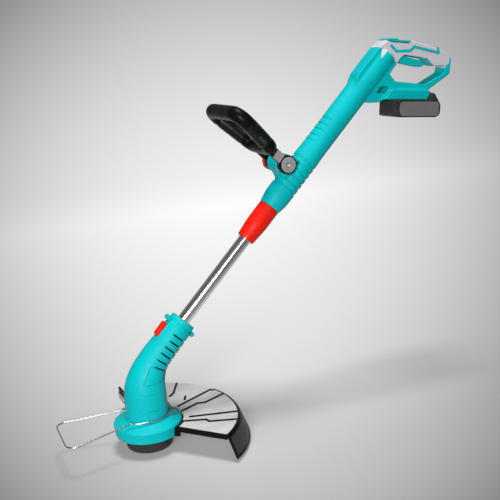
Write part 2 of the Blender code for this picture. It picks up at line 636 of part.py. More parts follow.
def coil(name, radius, wire, low, high, turns, frame=WORLD):
    """A compression spring along the frame's Z axis."""
    steps = 12 * turns
    curve = bpy.data.curves.new(name, "CURVE")
    curve.dimensions = "3D"
    curve.bevel_depth = wire
    curve.bevel_resolution = 0
    curve.use_fill_caps = True
    spline = curve.splines.new("POLY")
    spline.points.add(steps)
    for step in range(steps + 1):
        turn = 2 * math.pi * turns * step / steps
        height = low + (high - low) * step / steps
        point = frame @ Vector((radius * math.cos(turn), radius * math.sin(turn), height))
        spline.points[step].co = (*point, 1.0)
    curve.materials.append(finish(STEEL))
    made = bpy.data.objects.new(name, curve)
    bpy.context.scene.collection.objects.link(made)
    return made


def build_deck():
    """The round deck that carries the motor, with the skirt round the spool."""
    rim = SKIRT_RIM_Z
    deck = lathe("deck_skirt", (
        (SKIRT_FOOT_RADIUS - WALL, SKIRT_BOTTOM_Z), (SKIRT_FOOT_RADIUS, SKIRT_BOTTOM_Z),
        (SKIRT_RADIUS, rim - 0.005), (SKIRT_RADIUS - 0.0003, rim - 0.0010), (DECK_RIM_RADIUS, rim),
        (DECK_CONE_RADIUS, DECK_Z - 0.0006), (DECK_FLAT_RADIUS, DECK_Z),
        (DECK_BORE_RADIUS, DECK_Z), (DECK_BORE_RADIUS, DECK_Z - WALL),
        (DECK_FLAT_RADIUS, DECK_Z - WALL), (SKIRT_RADIUS - WALL - 0.002, rim - WALL),
        (SKIRT_RADIUS - WALL, rim - 0.006),
    ), TEAL, segments=30)
    return deck


def head_sections():
    """The motor housing's centres, axis tilts and radii, from its foot up to the neck's cap."""
    bend_start_z = SHAFT_CROSSING_Z - BEND_TANGENT
    sections = [(Vector((0, 0, FOOT_Z)), 0.0, HOUSING_FOOT_RADIUS + 0.0006)]
    for share in (0.08, 0.45, 1.0):
        radius = HOUSING_FOOT_RADIUS + (HOUSING_WAIST_RADIUS - HOUSING_FOOT_RADIUS) * share
        height = FOOT_Z + (bend_start_z - FOOT_Z) * share
        sections.append((Vector((0, 0, height)), 0.0, radius))
    steps = 5
    for step in range(1, steps + 1):
        share = step / steps
        turn = SHAFT_TILT_FROM_UP * share
        centre = Vector((BEND_RADIUS * (1 - math.cos(turn)), 0, bend_start_z + BEND_RADIUS * math.sin(turn)))
        eased = share * share * (3 - 2 * share)
        radius = HOUSING_WAIST_RADIUS + (NECK_RADIUS + 0.0015 - HOUSING_WAIST_RADIUS) * eased
        sections.append((centre, turn, radius))
    for station, radius in (
        (BEND_TANGENT + 0.022, NECK_RADIUS + 0.0004), (NECK_END - 0.020, NECK_RADIUS - 0.0004),
        (NECK_END - 0.011, NECK_CAP_RADIUS - 0.0002), (NECK_END - 0.009, NECK_CAP_RADIUS + 0.0006),
        (NECK_END - 0.003, NECK_CAP_RADIUS + 0.0004), (NECK_END, NECK_CAP_RADIUS - 0.0012),
    ):
        sections.append((SHAFT @ Vector((0, 0, station)), SHAFT_TILT_FROM_UP, radius))
    return sections


def head_loft(name, sections, shrink, spec, sides=24):
    """A skin through the head's sections, shrunk by a wall if asked."""
    rings = []
    for centre, turn, radius in sections:
        tilt = Matrix.Rotation(turn, 3, "Y")
        ring = [tilt @ Vector((x, y, 0)) * (radius - shrink) + centre
                for x, y in circle(1.0, sides, start=math.pi / sides)]
        rings.append(ring)
    return solid_of_rings(name, rings, spec)


def neck_frame(station):
    """The side frame on the head's centre line at a shaft station, which may lie in the bend."""
    if station >= BEND_TANGENT:
        return SIDE @ Matrix.Translation((station, 0, 0))
    turn = SHAFT_TILT_FROM_UP - (BEND_TANGENT - station) / BEND_RADIUS
    rise = SHAFT_CROSSING_Z - BEND_TANGENT + BEND_RADIUS * math.sin(turn)
    centre = Matrix.Translation((BEND_RADIUS * (1 - math.cos(turn)), 0, rise))
    return centre @ Matrix.Rotation(turn - math.pi / 2, 4, "Y")


def cut_vents(shell, sections):
    """Cut the row of shallow slots round the back of the neck, and open the lowest ones."""
    half = VENT_WIDTH / 2
    for vent in range(VENT_COUNT):
        frame = neck_frame(VENT_FIRST - vent * VENT_PITCH)
        reach = VENT_REACH - vent * VENT_STEP
        slot = box("cutter", (-half, -FAR / 4, -FAR / 4), (half, FAR / 4, reach), TEAL, frame)
        cut(slot, head_loft("core", sections, VENT_DEPTH, TEAL))
        cut(shell, slot)
        if vent >= VENT_COUNT - OPEN_VENTS:
            cut(shell, box("cutter", (GAP - half, -OPEN_VENT_HALF, -FAR / 4),
                           (half - GAP, OPEN_VENT_HALF, -NECK_RADIUS / 2), TEAL, frame))


def build_head_shells():
    """The two halves of the motor housing and neck, with the seats for the swivel sleeve."""
    sections = head_sections()
    shell = head_loft("head_shell_left", sections, 0.0, TEAL)
    inner = [(Vector((0, 0, FOOT_Z - WALL)), 0.0, HOUSING_FOOT_RADIUS + 0.0006)] + sections[:-2]
    cut(shell, head_loft("cutter", inner, WALL, TEAL))
    for station, n in ((NECK_BOSS_STATION, 1), (NECK_BOSS_STATION, -1)):
        frame = along_y(SIDE, station, n * NECK_BOSS_HEIGHT)
        join(shell, rod("boss", NECK_BOSS_RADIUS, -NECK_BOSS_HALF, NECK_BOSS_HALF, TEAL, frame, segments=14))
    flange_low = TUBE_LOW + FLANGE_OFFSET
    flange_top = flange_low + FLANGE_THICKNESS
    for low, high in ((flange_low - SEAT_RIB, flange_low - GAP), (flange_top + GAP, flange_top + SEAT_RIB)):
        join(shell, sleeve("rib", SLEEVE_RADIUS + RUN, NECK_RADIUS - WALL / 2, low, high, TEAL, SHAFT, 24))
    cut(shell, rod("cutter", TUBE_RADIUS + RUN, NECK_END - 0.006, NECK_END + 0.01, TEAL, SHAFT, 32))
    cut(shell, rod("cutter", SLEEVE_RADIUS + RUN, NECK_END - 0.014, NECK_END - 0.003 + GAP, TEAL, SHAFT, 24))
    half_length = BUTTON_LENGTH / 2 + RUN / 2
    slot = box("cutter", (BUTTON_STATION - half_length, -BUTTON_HALF_WIDTH - RUN / 2, SLEEVE_RADIUS + 0.004),
               (BUTTON_STATION + half_length, BUTTON_HALF_WIDTH + RUN / 2, NECK_RADIUS + 0.02), TEAL, SIDE)
    cut(shell, slot)
    cut_vents(shell, sections)
    combine(shell, left_half(), "INTERSECT")
    axes = [along_y(SIDE, NECK_BOSS_STATION, side * NECK_BOSS_HEIGHT) for side in (1, -1)]
    return shell, other_half(shell, "head_shell_right", axes, NECK_BOSS_HALF - SCREW_BLIND)


def build_head():
    """Everything that turns about the shaft with the motor housing, apart from its own moving parts."""
    left, right = build_head_shells()
    pieces = [left, right, build_deck()]
    can = lathe("motor_can", (
        (BEARING_RADIUS + GAP, FOOT_Z), (MOTOR_RADIUS, FOOT_Z), (MOTOR_RADIUS, MOTOR_TOP_Z - 0.001),
        (MOTOR_RADIUS - 0.001, MOTOR_TOP_Z), (0.0, MOTOR_TOP_Z), (0.0, MOTOR_TOP_Z - 0.0028),
        (MOTOR_RADIUS - 0.0022, MOTOR_TOP_Z - 0.0028), (MOTOR_RADIUS - 0.0022, FOOT_Z + 0.002),
        (BEARING_RADIUS + GAP, FOOT_Z + 0.002),
    ), STEEL, segments=28)
    bearing = sleeve("motor_bearing", ROTOR_SHAFT_RADIUS + GAP, BEARING_RADIUS, FOOT_Z + GAP,
                     FOOT_Z + GAP + BEARING_HEIGHT, STEEL, segments=24)
    cut(can, box("cutter", (-0.004, -MOTOR_RADIUS - 0.002, MOTOR_TOP_Z - 0.030),
                 (0.004, -MOTOR_RADIUS + 0.006, MOTOR_TOP_Z - 0.020), STEEL))
    pieces += [can, bearing]
    for index, side in ((1, 1), (2, -1)):
        axis = along_y(SIDE, NECK_BOSS_STATION, side * NECK_BOSS_HEIGHT)
        frame = axis @ Matrix.Translation((0, 0, NECK_BOSS_HALF + GAP))
        pieces.append(screw(f"head_screw_{index}", frame, 2 * (NECK_BOSS_HALF - SCREW_BLIND)))
    pieces += build_guard()
    return pieces


def polar(radius, turn):
    """The flat point at a radius and a turn about the spool's axis."""
    return (radius * math.cos(turn), radius * math.sin(turn))


def flat_bar(name, path, width, low, high, spec):
    """An upright bar that follows a path seen from above."""
    rings = [[(x, y, z) for x, y in bar_outline(path, width)] for z in (low, high)]
    return solid_of_rings(name, rings, spec)


def rib_paths():
    """Each pair of guard ribs: a straight one, and one with a jog in the middle."""
    pairs = []
    for middle in (-28.0, 13.0, 55.0):
        straight = math.radians(middle + 8.0)
        jogged = math.radians(middle - 8.0)
        pairs.append([polar(0.078, straight), polar(GUARD_RADIUS - 0.004, straight)])
        pairs.append([polar(0.074, jogged), polar(0.110, jogged + 0.06), polar(0.122, jogged - 0.02),
                      polar(GUARD_RADIUS - 0.004, jogged + 0.04)])
    return pairs


def build_guard():
    """The smoked sheet with its ribs, the black frame and lip that carry it, and the line cutter."""
    inner = SKIRT_RADIUS + GAP + BAND_WALL + GAP
    bar = EDGE_BAR_WIDTH
    sheet_end = GUARD_END - (bar + GAP) / inner
    top_radius = SKIRT_RADIUS + GAP
    root = top_radius + BAND_WALL / 2
    near_end = polar(LIP_RADIUS - 0.004, GUARD_START + bar / 2 / LIP_RADIUS)
    near_path = [polar(root, NEAR_BAR_TURN + bar / 2 / root), near_end]
    plate = lathe("guard_plate", (
        (inner, PLATE_LOW_Z), (GUARD_RADIUS, PLATE_LOW_Z), (GUARD_RADIUS, GUARD_TOP_Z), (inner, GUARD_TOP_Z),
    ), SMOKE, segments=24, start=NEAR_BAR_TURN, sweep=sheet_end - NEAR_BAR_TURN)
    along = (Vector(near_path[1]) - Vector(near_path[0])).normalized()
    outwards = Vector((along.y, -along.x)) * ((PLATE_CUT_WIDTH - bar) / 2 - GAP)
    edge = [Vector(near_path[0]) - along * bar + outwards, Vector(near_path[1]) + along * bar + outwards]
    cut(plate, flat_bar("cutter", edge, PLATE_CUT_WIDTH, PLATE_LOW_Z - 0.01, GUARD_TOP_Z + 0.01, SMOKE))
    for path in rib_paths():
        join(plate, flat_bar("rib", path, RIB_WIDTH, GUARD_TOP_Z - 0.001, GUARD_TOP_Z + RIB_HEIGHT, SMOKE))
    skirt_slope = (SKIRT_RADIUS - SKIRT_FOOT_RADIUS) / (SKIRT_RIM_HEIGHT - 0.005)
    band_top = SKIRT_RIM_Z - 0.0055
    band_low = band_top - BAND_HEIGHT
    low_radius = top_radius - BAND_HEIGHT * skirt_slope
    frame = lathe("guard_frame", (
        (low_radius, band_low), (low_radius + BAND_WALL, band_low), (top_radius + BAND_WALL, band_top),
        (top_radius, band_top),
    ), BLACK, segments=20, start=NEAR_BAR_TURN, sweep=GUARD_END - NEAR_BAR_TURN)
    lip = lathe("lip", (
        (GUARD_RADIUS + GAP, PLATE_LOW_Z), (LIP_RADIUS - LIP_WALL, PLATE_LOW_Z - 0.002),
        (LIP_FOOT_RADIUS - LIP_WALL, LIP_FOOT_Z), (LIP_FOOT_RADIUS, LIP_FOOT_Z),
        (LIP_RADIUS, PLATE_LOW_Z), (LIP_RADIUS - 0.003, GUARD_TOP_Z), (GUARD_RADIUS + GAP, GUARD_TOP_Z),
    ), BLACK, segments=14, start=GUARD_START, sweep=LIP_END - GUARD_START)
    bar_low = GUARD_TOP_Z - EDGE_BAR_HEIGHT
    shift = bar / 2 / root
    near = flat_bar("bar", near_path, bar, bar_low, GUARD_TOP_Z, BLACK)
    far_turn = GUARD_END - bar / 2 / LIP_RADIUS
    far = flat_bar("bar", [polar(root, GUARD_END - shift), polar(LIP_RADIUS + 0.006, far_turn)], bar, bar_low,
                   GUARD_TOP_Z, BLACK)
    join(frame, lip, near, far)
    pieces = [plate, frame]
    pieces += build_cutter(frame, far_turn, bar_low)
    for index, turn in ((1, math.radians(-40.0)), (2, math.radians(70.0))):
        height = band_low + BAND_HEIGHT * 0.45
        radius = low_radius + BAND_HEIGHT * 0.45 * skirt_slope + BAND_WALL + GAP
        where = Matrix.Rotation(turn, 4, "Z") @ Matrix.Translation((radius + 0.0002, 0, height))
        axis = where @ Matrix.Rotation(math.pi / 2, 4, "Y")
        pieces.append(screw(f"guard_screw_{index}", axis, BAND_WALL + WALL))
        cut(frame, screw_hole(axis, BAND_WALL + WALL))
        cut(bpy.data.objects["deck_skirt"], screw_hole(axis, BAND_WALL + WALL))
    return pieces


def build_cutter(frame, far_turn, bar_low):
    """The steel blade that trims the line, on a tab below the guard's far bar, with its two screws."""
    tab_high = bar_low + 0.002
    blade_top = bar_low - 0.001
    blade_low = blade_top - BLADE_HEIGHT
    end = BLADE_RADIUS + BLADE_LENGTH
    turn = Matrix.Rotation(far_turn, 4, "Z")
    half = EDGE_BAR_WIDTH / 2
    tab = box("tab", (BLADE_RADIUS, -half, blade_low - 0.001), (end - 0.001, half, tab_high), BLACK, turn)
    join(frame, tab)
    outline = ((BLADE_RADIUS, blade_low + 0.004), (end, blade_low), (end + 0.002, blade_top),
               (BLADE_RADIUS, blade_top))
    face = half + GAP
    blade = prism("cutter_blade", outline, face, face + BLADE_THICKNESS, STEEL, turn)
    pieces = [blade]
    for index, share in ((1, 0.25), (2, 0.75)):
        x = BLADE_RADIUS + BLADE_LENGTH * share
        z = blade_top - BLADE_HEIGHT * 0.45
        axis = along_y(turn, x, z) @ Matrix.Translation((0, 0, face + BLADE_THICKNESS + GAP))
        length = BLADE_THICKNESS + EDGE_BAR_WIDTH * 0.8
        cut(blade, screw_hole(axis, length))
        cut(frame, screw_hole(axis, length))
        pieces.append(screw(f"blade_screw_{index}", axis, length))
    return pieces


def build_release_button():
    """The button on the neck that frees the head to turn."""
    low = BUTTON_STATION - BUTTON_LENGTH / 2
    high = BUTTON_STATION + BUTTON_LENGTH / 2
    inner = SLEEVE_RADIUS + SLEEVE_FLANGE + BUTTON_TRAVEL + RUN
    top = NECK_RADIUS + BUTTON_PROUD
    outline = ((low, inner), (high, inner), (high, top - 0.0012), (high - 0.004, top), (low + 0.002, top - 0.001),
               (low, top - 0.003))
    return prism("head_release_button", outline, -BUTTON_HALF_WIDTH, BUTTON_HALF_WIDTH, RED, SIDE, edge=0.0015,
                 steps=1)


def wire_curve(name, points, radius, spec, resolution=2):
    """A round wire or lead through hand-set points."""
    curve = bpy.data.curves.new(name, "CURVE")
    curve.dimensions = "3D"
    curve.bevel_depth = radius
    curve.bevel_resolution = resolution
    curve.use_fill_caps = True
    spline = curve.splines.new("POLY")
    spline.points.add(len(points) - 1)
    for place, point in zip(spline.points, points):
        place.co = (*point, 1.0)
    curve.materials.append(finish(spec))
    made = bpy.data.objects.new(name, curve)
    bpy.context.scene.collection.objects.link(made)
    return made


def wire_end_z():
    """The height of the wire's two ends, just above the deck's cone."""
    share = (WIRE_END_RADIUS - DECK_CONE_RADIUS) / (DECK_RIM_RADIUS - DECK_CONE_RADIUS)
    return DECK_Z + (SKIRT_RIM_Z - DECK_Z) * share + WIRE_END_LIFT


def build_plant_guard():
    """The sprung wire round the housing's foot, whose two ends stand on the deck."""
    half = [(WIRE_END_X, WIRE_END_Y, wire_end_z()), (WIRE_END_X - WIRE_RADIUS, WIRE_END_Y, WIRE_Z)]
    for step in range(WIRE_STEPS + 1):
        turn = WIRE_LEAVE + (WIRE_KINK - WIRE_LEAVE) * step / WIRE_STEPS
        off = WIRE_FLARE * max(0.0, turn - math.pi / 2) / (WIRE_KINK - math.pi / 2)
        half.append((*polar(WIRE_HUG_RADIUS + off, turn), WIRE_Z))
    corner_x = -WIRE_REACH + WIRE_CORNER
    corner = circle(WIRE_CORNER, 7, x=corner_x, z=WIRE_HALF_WIDTH - WIRE_CORNER, start=math.pi * 0.41,
                    sweep=math.pi * 0.53)
    half += [(x, y, WIRE_Z - WIRE_DROP) for x, y in corner]
    far = [Vector(point) for point in half]
    near = [Vector((x, -y, z)) for x, y, z in half]
    return wire_curve("plant_guard_wire", near + far[::-1], WIRE_RADIUS, CHROME)


def build_tube():
    """The sliding shaft tube, with the plug at its top, the sleeve at its foot and the motor's lead."""
    tube = sleeve("shaft_tube", TUBE_RADIUS - TUBE_WALL, TUBE_RADIUS, TUBE_LOW, TUBE_TOP, ALUMINIUM, SHAFT, 28)
    plug = lathe("tube_plug", (
        (TUBE_RADIUS + GAP, TUBE_TOP - PLUG_LENGTH), (HOUSING_BORE - RUN, TUBE_TOP - PLUG_LENGTH),
        (HOUSING_BORE - RUN, TUBE_TOP + 0.004), (LEAD_RADIUS + GAP, TUBE_TOP + 0.004),
        (LEAD_RADIUS + GAP, TUBE_TOP + GAP), (TUBE_RADIUS + GAP, TUBE_TOP + GAP),
    ), BLACK, SHAFT, 28)
    flange_low = TUBE_LOW + FLANGE_OFFSET
    flange = SLEEVE_RADIUS + SLEEVE_FLANGE
    foot = lathe("swivel_sleeve", (
        (TUBE_RADIUS + GAP, TUBE_LOW), (SLEEVE_RADIUS, TUBE_LOW), (SLEEVE_RADIUS, flange_low),
        (flange, flange_low), (flange, flange_low + FLANGE_THICKNESS),
        (SLEEVE_RADIUS, flange_low + FLANGE_THICKNESS),
        (SLEEVE_RADIUS, NECK_END - 0.003 - GAP), (TUBE_RADIUS + GAP, NECK_END - 0.003 - GAP),
    ), BLACK, SHAFT, 28)
    stations = [TUBE_LOW - 0.006 + 0.03 * step for step in range(20)] + [TUBE_TOP + 0.016]
    lead = wire_curve("motor_lead", [SHAFT @ Vector((0, 0, s)) for s in stations], LEAD_RADIUS, LEAD)
    return [tube, plug, foot, lead]


def build_collar():
    """The twist collar, with its flutes, that squeezes the collet onto the tube."""
    seat = COLLET_RADIUS + RUN
    outer = ((COLLAR_NOSE_RADIUS, 0.0), (COLLAR_NOSE_RADIUS + 0.0006, 0.004), (COLLAR_RADIUS - 0.0015, 0.020),
             (COLLAR_RADIUS, 0.035), (COLLAR_RADIUS, COLLAR_LENGTH - 0.001), (COLLAR_RADIUS - 0.001, COLLAR_LENGTH))
    inner = [(seat, COLLAR_TOP), (seat, COLLAR_LOW + COLLAR_BOTTOM_WALL),
             (TUBE_RADIUS + RUN, COLLAR_LOW + COLLAR_BOTTOM_WALL), (TUBE_RADIUS + RUN, COLLAR_LOW)]
    rings = []
    for step in range(2 * COLLAR_FLUTES):
        turn = math.pi * step / COLLAR_FLUTES
        depths = [0.0] + [COLLAR_FLUTE_DEPTH * (step % 2)] * (len(outer) - 3) + [0.0, 0.0]
        profile = [(r - depth, COLLAR_LOW + s) for (r, s), depth in zip(outer, depths)] + inner
        rings.append([(r * math.cos(turn), r * math.sin(turn), z) for r, z in profile])
    return solid_of_rings("clamp_collar", rings, RED, SHAFT, closed=True)


def build_collet():
    """The split ring inside the collar, held by its flange in the rear housing."""
    low = COLLAR_LOW + COLLAR_BOTTOM_WALL + GAP
    flange_low = HOUSING_LOW + WALL + GAP
    bore = TUBE_RADIUS + GAP
    collet = lathe("tube_collet", (
        (bore, low), (COLLET_RADIUS - 0.001, low), (COLLET_RADIUS, low + 0.003), (COLLET_RADIUS, flange_low),
        (COLLET_FLANGE_RADIUS, flange_low), (COLLET_FLANGE_RADIUS, flange_low + COLLET_FLANGE_LENGTH),
        (bore, flange_low + COLLET_FLANGE_LENGTH),
    ), BLACK, SHAFT, 28)
    for turn in (0.0, math.pi / 2):
        frame = SHAFT @ Matrix.Rotation(turn, 4, "Z")
        cut(collet, box("cutter", (-FAR / 8, -COLLET_SLOT_HALF, low - 0.001),
                        (FAR / 8, COLLET_SLOT_HALF, low + COLLET_SLOT_LENGTH), BLACK, frame))
    return collet


def housing_profile():
    """The rear shaft housing's outer (radius, station) points, with the ring ribs."""
    points = [(HOUSING_NOSE_RADIUS - 0.0006, 0.0), (HOUSING_NOSE_RADIUS, 0.001),
              (HOUSING_RADIUS - 0.0010, 0.011), (HOUSING_RADIUS + HOUSING_SWELL, 0.022)]
    swell = HOUSING_RADIUS + HOUSING_SWELL
    for rib in range(RING_RIBS):
        station = RING_RIB_FIRST + rib * RING_RIB_PITCH
        points += [(swell, station - 0.0025), (swell - RING_RIB_DEPTH, station), (swell, station + 0.0025)]
    end = RING_RIB_FIRST + RING_RIBS * RING_RIB_PITCH
    points += [(swell, end), (HOUSING_RADIUS, end + 0.012)]
    profile = [(r, HOUSING_LOW + s) for r, s in points]
    tail = HANDLE_STATION + BARREL_TAIL
    profile += [(HOUSING_RADIUS, HANDLE_STATION), (HANDLE_HALF_WIDTH - 0.001, tail - 0.003), (0.006, tail),
                (0.0, tail)]
    return [(0.0, HOUSING_LOW)] + profile


def build_outer_form():
    """The rear housing's outer form: shaft housing, pivot lug, handle loop and battery rail in one solid."""
    form = lathe("form", housing_profile(), TEAL, SHAFT, 24)
    lug = circle(LUG_RADIUS, 15, x=PIVOT_STATION, z=PIVOT_HEIGHT, start=math.pi * 1.08, sweep=-math.pi * 1.16)
    lug = [(PIVOT_STATION - LUG_RADIUS * 1.25, HOUSING_RADIUS * 0.7)] + lug
    lug += [(PIVOT_STATION + LUG_RADIUS * 1.25, HOUSING_RADIUS * 0.7)]
    join(form, prism("lug", lug, -LUG_HALF_WIDTH, LUG_HALF_WIDTH, TEAL, SIDE, edge=0.0015, steps=1))
    loop = prism("loop", list(HANDLE_OUTLINE), -HANDLE_HALF_WIDTH, HANDLE_HALF_WIDTH, TEAL, HANDLE, HANDLE_EDGE)
    join(form, loop)
    rail = prism("rail", list(RAIL_OUTLINE), -RAIL_HALF_WIDTH, RAIL_HALF_WIDTH, TEAL, RAIL, RAIL_EDGE, steps=1)
    join(form, rail)
    reach = HANDLE_HALF_WIDTH + 0.02
    cut(form, prism("cutter", list(OPENING_OUTLINE), -reach, reach, TEAL, HANDLE))
    cut(form, prism("cutter", list(SLOT_OUTLINE), -reach, reach, TEAL, HANDLE))
    return form


def cut_cavities(form):
    """Hollow the rear housing for the tube, the switch and the battery's tongue."""
    bore = HOUSING_BORE
    neck = COLLET_RADIUS + GAP
    hollow = lathe("cutter", (
        (0.0, HOUSING_LOW - 0.01), (neck, HOUSING_LOW - 0.01), (neck, HOUSING_LOW + WALL),
        (HOUSING_NOSE_RADIUS - 0.0004, HOUSING_LOW + WALL), (bore, HOUSING_LOW + WALL + 0.020),
        (bore, HANDLE_STATION - 0.006), (HANDLE_HALF_WIDTH - 0.002, HANDLE_STATION + 0.016),
        (0.0, HANDLE_STATION + 0.020),
    ), TEAL, SHAFT, 24)
    half = HANDLE_HALF_WIDTH - GRIP_WALL
    join(hollow, prism("grip", list(CAVITY_OUTLINE), -half, half, TEAL, HANDLE))
    cut(form, hollow)
    slot_half = TRIGGER_HALF_WIDTH + RUN
    cut(form, prism("cutter", list(TRIGGER_SLOT_OUTLINE), -slot_half, slot_half, TEAL, HANDLE))
    across = HANDLE_HALF_WIDTH + 0.01
    cut(form, prism("cutter", list(LOCK_WELL_OUTLINE), -across, across, TEAL, HANDLE))
    rear = RAIL_OUTLINE[3][0] + 0.01
    channel = tee_outline(LIP_HALF_WIDTH, CHANNEL_HALF_WIDTH, -0.01, RAIL_LIP_HEIGHT, CHANNEL_TOP)
    cut(form, prism("cutter", channel, CHANNEL_START, rear, TEAL, RAIL @ ALONG_X))
    for side in (1, -1):
        outer = side * (RAIL_HALF_WIDTH + 0.001)
        inner = side * (RAIL_HALF_WIDTH - GROOVE_DEPTH)
        low, high = sorted((outer, inner))
        cut(form, box("cutter", (0.012, low, 0.0125), (rear, high, 0.0125 + GROOVE_HEIGHT), TEAL, RAIL))
    cut(form, rod("cutter", BOLT_RADIUS + GAP, -FAR, FAR, TEAL, along_y(PIVOT, 0, 0)))
    x, z = TRIGGER_PIVOT
    reach = HANDLE_HALF_WIDTH - PIN_SEAT
    cut(form, rod("cutter", TRIGGER_PIN_RADIUS + GAP, -reach, reach, TEAL, along_y(HANDLE, x, z), 12))


def build_rear_housing():
    """The teal halves and the white covers of the rear housing, with their accent stripes."""
    form = build_outer_form()
    cut_cavities(form)
    combine(form, left_half(), "INTERSECT")
    cover = copy_of(form, "grip_cover_left", WHITE)
    region = prism("region", list(COVER_OUTLINE), -FAR, FAR, TEAL, HANDLE)
    combine(cover, region, "INTERSECT")
    wider = prism("region", grown(list(COVER_OUTLINE), GAP), -FAR, FAR, TEAL, HANDLE)
    cut(form, wider)
    form.name = "housing_left"
    stripe_outline = bar_outline(STRIPE_PATH, STRIPE_WIDTH)
    floor = -HANDLE_HALF_WIDTH + STRIPE_DEPTH
    cut(cover, prism("cutter", grown(stripe_outline, GAP), -FAR, floor, WHITE, HANDLE))
    stripe = prism("accent_stripe_left", stripe_outline, -HANDLE_HALF_WIDTH - STRIPE_PROUD, floor - GAP, TEAL,
                   HANDLE)
    pieces = [form, cover, stripe]
    axes = [along_y(HANDLE, x, z) for x, z in HOUSING_SCREWS]
    pieces.append(other_half(form, "housing_right", axes, HANDLE_HALF_WIDTH - 2 * SCREW_BLIND))
    pieces += [other_half(piece, piece.name.replace("left", "right")) for piece in (cover, stripe)]
    return pieces


def build_handle_fittings():
    """What the rear housing holds: switch, terminal block, trigger pin and the housing's screws."""
    half = HANDLE_HALF_WIDTH - GRIP_WALL - GAP
    switch = prism("switch_unit", list(SWITCH_OUTLINE), -half, half, BLACK, HANDLE)
    block = box("terminal_block", (CHANNEL_START + GAP, -TERMINAL_HALF_WIDTH, RAIL_LIP_HEIGHT + 0.001),
                (TONGUE_START - 0.002, TERMINAL_HALF_WIDTH, CHANNEL_TOP - GAP), BLACK, RAIL)
    x, z = TRIGGER_PIVOT
    reach = HANDLE_HALF_WIDTH - PIN_SEAT - GAP
    pin = rod("trigger_pin", TRIGGER_PIN_RADIUS, -reach, reach, STEEL, along_y(HANDLE, x, z), 12)
    pieces = [switch, block, pin]
    for index, (x, z) in enumerate(HOUSING_SCREWS, 1):
        axis = along_y(HANDLE, x, z) @ Matrix.Translation((0, 0, HANDLE_HALF_WIDTH + GAP))
        pieces.append(screw(f"housing_screw_{index}", axis, 2 * HANDLE_HALF_WIDTH - 3 * SCREW_BLIND))
    return pieces


def build_trigger():
    """The trigger bar, which turns about its pin."""
    trigger = prism("trigger", list(TRIGGER_OUTLINE), -TRIGGER_HALF_WIDTH, TRIGGER_HALF_WIDTH, TEAL, HANDLE,
                    edge=0.002)
    x, z = TRIGGER_PIVOT
    cut(trigger, rod("cutter", TRIGGER_PIN_RADIUS + GAP, -FAR, FAR, TEAL, along_y(HANDLE, x, z), 12))
    return trigger


def build_lock_button():
    """The lock-off button, a saddle across the top of the grip."""
    saddle = prism("lock_off_button", list(HANDLE_OUTLINE), -HANDLE_HALF_WIDTH, HANDLE_HALF_WIDTH, TEAL, HANDLE,
                   HANDLE_EDGE)
    across = HANDLE_HALF_WIDTH + 0.01
    return combine(saddle, prism("region", list(LOCK_OUTLINE), -across, across, TEAL, HANDLE), "INTERSECT")


def nose_cut(case, half, inset=0.0):
    """Cut the two slanted corners off the front of the pack's case, or of the hollow in it."""
    front = PACK_LOWER_OUTLINE[0][0]
    length, depth = PACK_NOSE
    shift = inset * math.hypot(length, depth) / length
    beyond = 3
    for side in (1, -1):
        corners = ((front - beyond * length, half - depth - shift - beyond * depth),
                   (front + (1 + beyond) * length, half - shift + beyond * depth),
                   (front - beyond * length, half - shift + beyond * depth))
        rings = [[(x, side * y, z) for x, y in corners] for z in (-FAR / 4, FAR / 4)]
        cut(case, solid_of_rings("cutter", rings, GREY, RAIL))
    return case


def build_battery():
    """The slide-on pack: two case shells with the sliding tongue, and the cells inside."""
    half = PACK_HALF_WIDTH
    inner = half - PACK_WALL
    low = prism("battery_case_lower", list(PACK_LOWER_OUTLINE), -half, half, GREY, RAIL, PACK_EDGE)
    hollow = grown(list(PACK_LOWER_OUTLINE), -PACK_WALL)
    hollow = [(x, z + 0.01 if z > PACK_SPLIT - 0.003 else z) for x, z in hollow]
    nose_cut(low, half)
    cut(low, nose_cut(prism("cutter", hollow, -inner, inner, GREY, RAIL), half, PACK_WALL))
    shift = Matrix.Translation((0, 0, GAP))
    high = prism("battery_case_upper", list(PACK_UPPER_OUTLINE), -half, half, GREY, RAIL @ shift, PACK_EDGE)
    hollow = grown(list(PACK_UPPER_OUTLINE), -PACK_WALL)
    hollow = [(x, z - 0.01 if z < PACK_SPLIT + 0.003 else min(z, -0.0028)) for x, z in hollow]
    nose_cut(high, half)
    cut(high, nose_cut(prism("cutter", hollow, -inner, inner, GREY, RAIL), half, PACK_WALL))
    tongue = tee_outline(LIP_HALF_WIDTH - RUN, CHANNEL_HALF_WIDTH - RUN, -0.0018, RAIL_LIP_HEIGHT + RUN,
                         CHANNEL_TOP - RUN)
    join(high, prism("tongue", tongue, TONGUE_START, TONGUE_END, GREY, RAIL @ ALONG_X))
    pocket = [(x + (0.0006 if x > 0.11 else -0.02), z - 0.0045 if z < 0.01 else z + 0.01) for x, z in LATCH_OUTLINE]
    reach = LATCH_HALF_WIDTH + GAP
    cut(high, prism("cutter", pocket, -reach, reach, GREY, RAIL))
    pieces = [high, low]
    cell_z = PACK_LOWER_OUTLINE[2][1] + PACK_WALL + GAP + CELL_RADIUS
    for index in range(CELL_COUNT):
        axis = along_y(RAIL, CELL_FIRST + index * CELL_PITCH, cell_z)
        cell = rod(f"battery_cell_{index + 1}", CELL_RADIUS, -CELL_LENGTH / 2, CELL_LENGTH / 2, CELL, axis, 20)
        pieces.append(cell)
    return pieces


def build_latch():
    """The button at the back of the pack that frees it from the rail."""
    return prism("battery_latch_button", list(LATCH_OUTLINE), -LATCH_HALF_WIDTH, LATCH_HALF_WIDTH, RED, RAIL,
                 edge=0.001, steps=1)


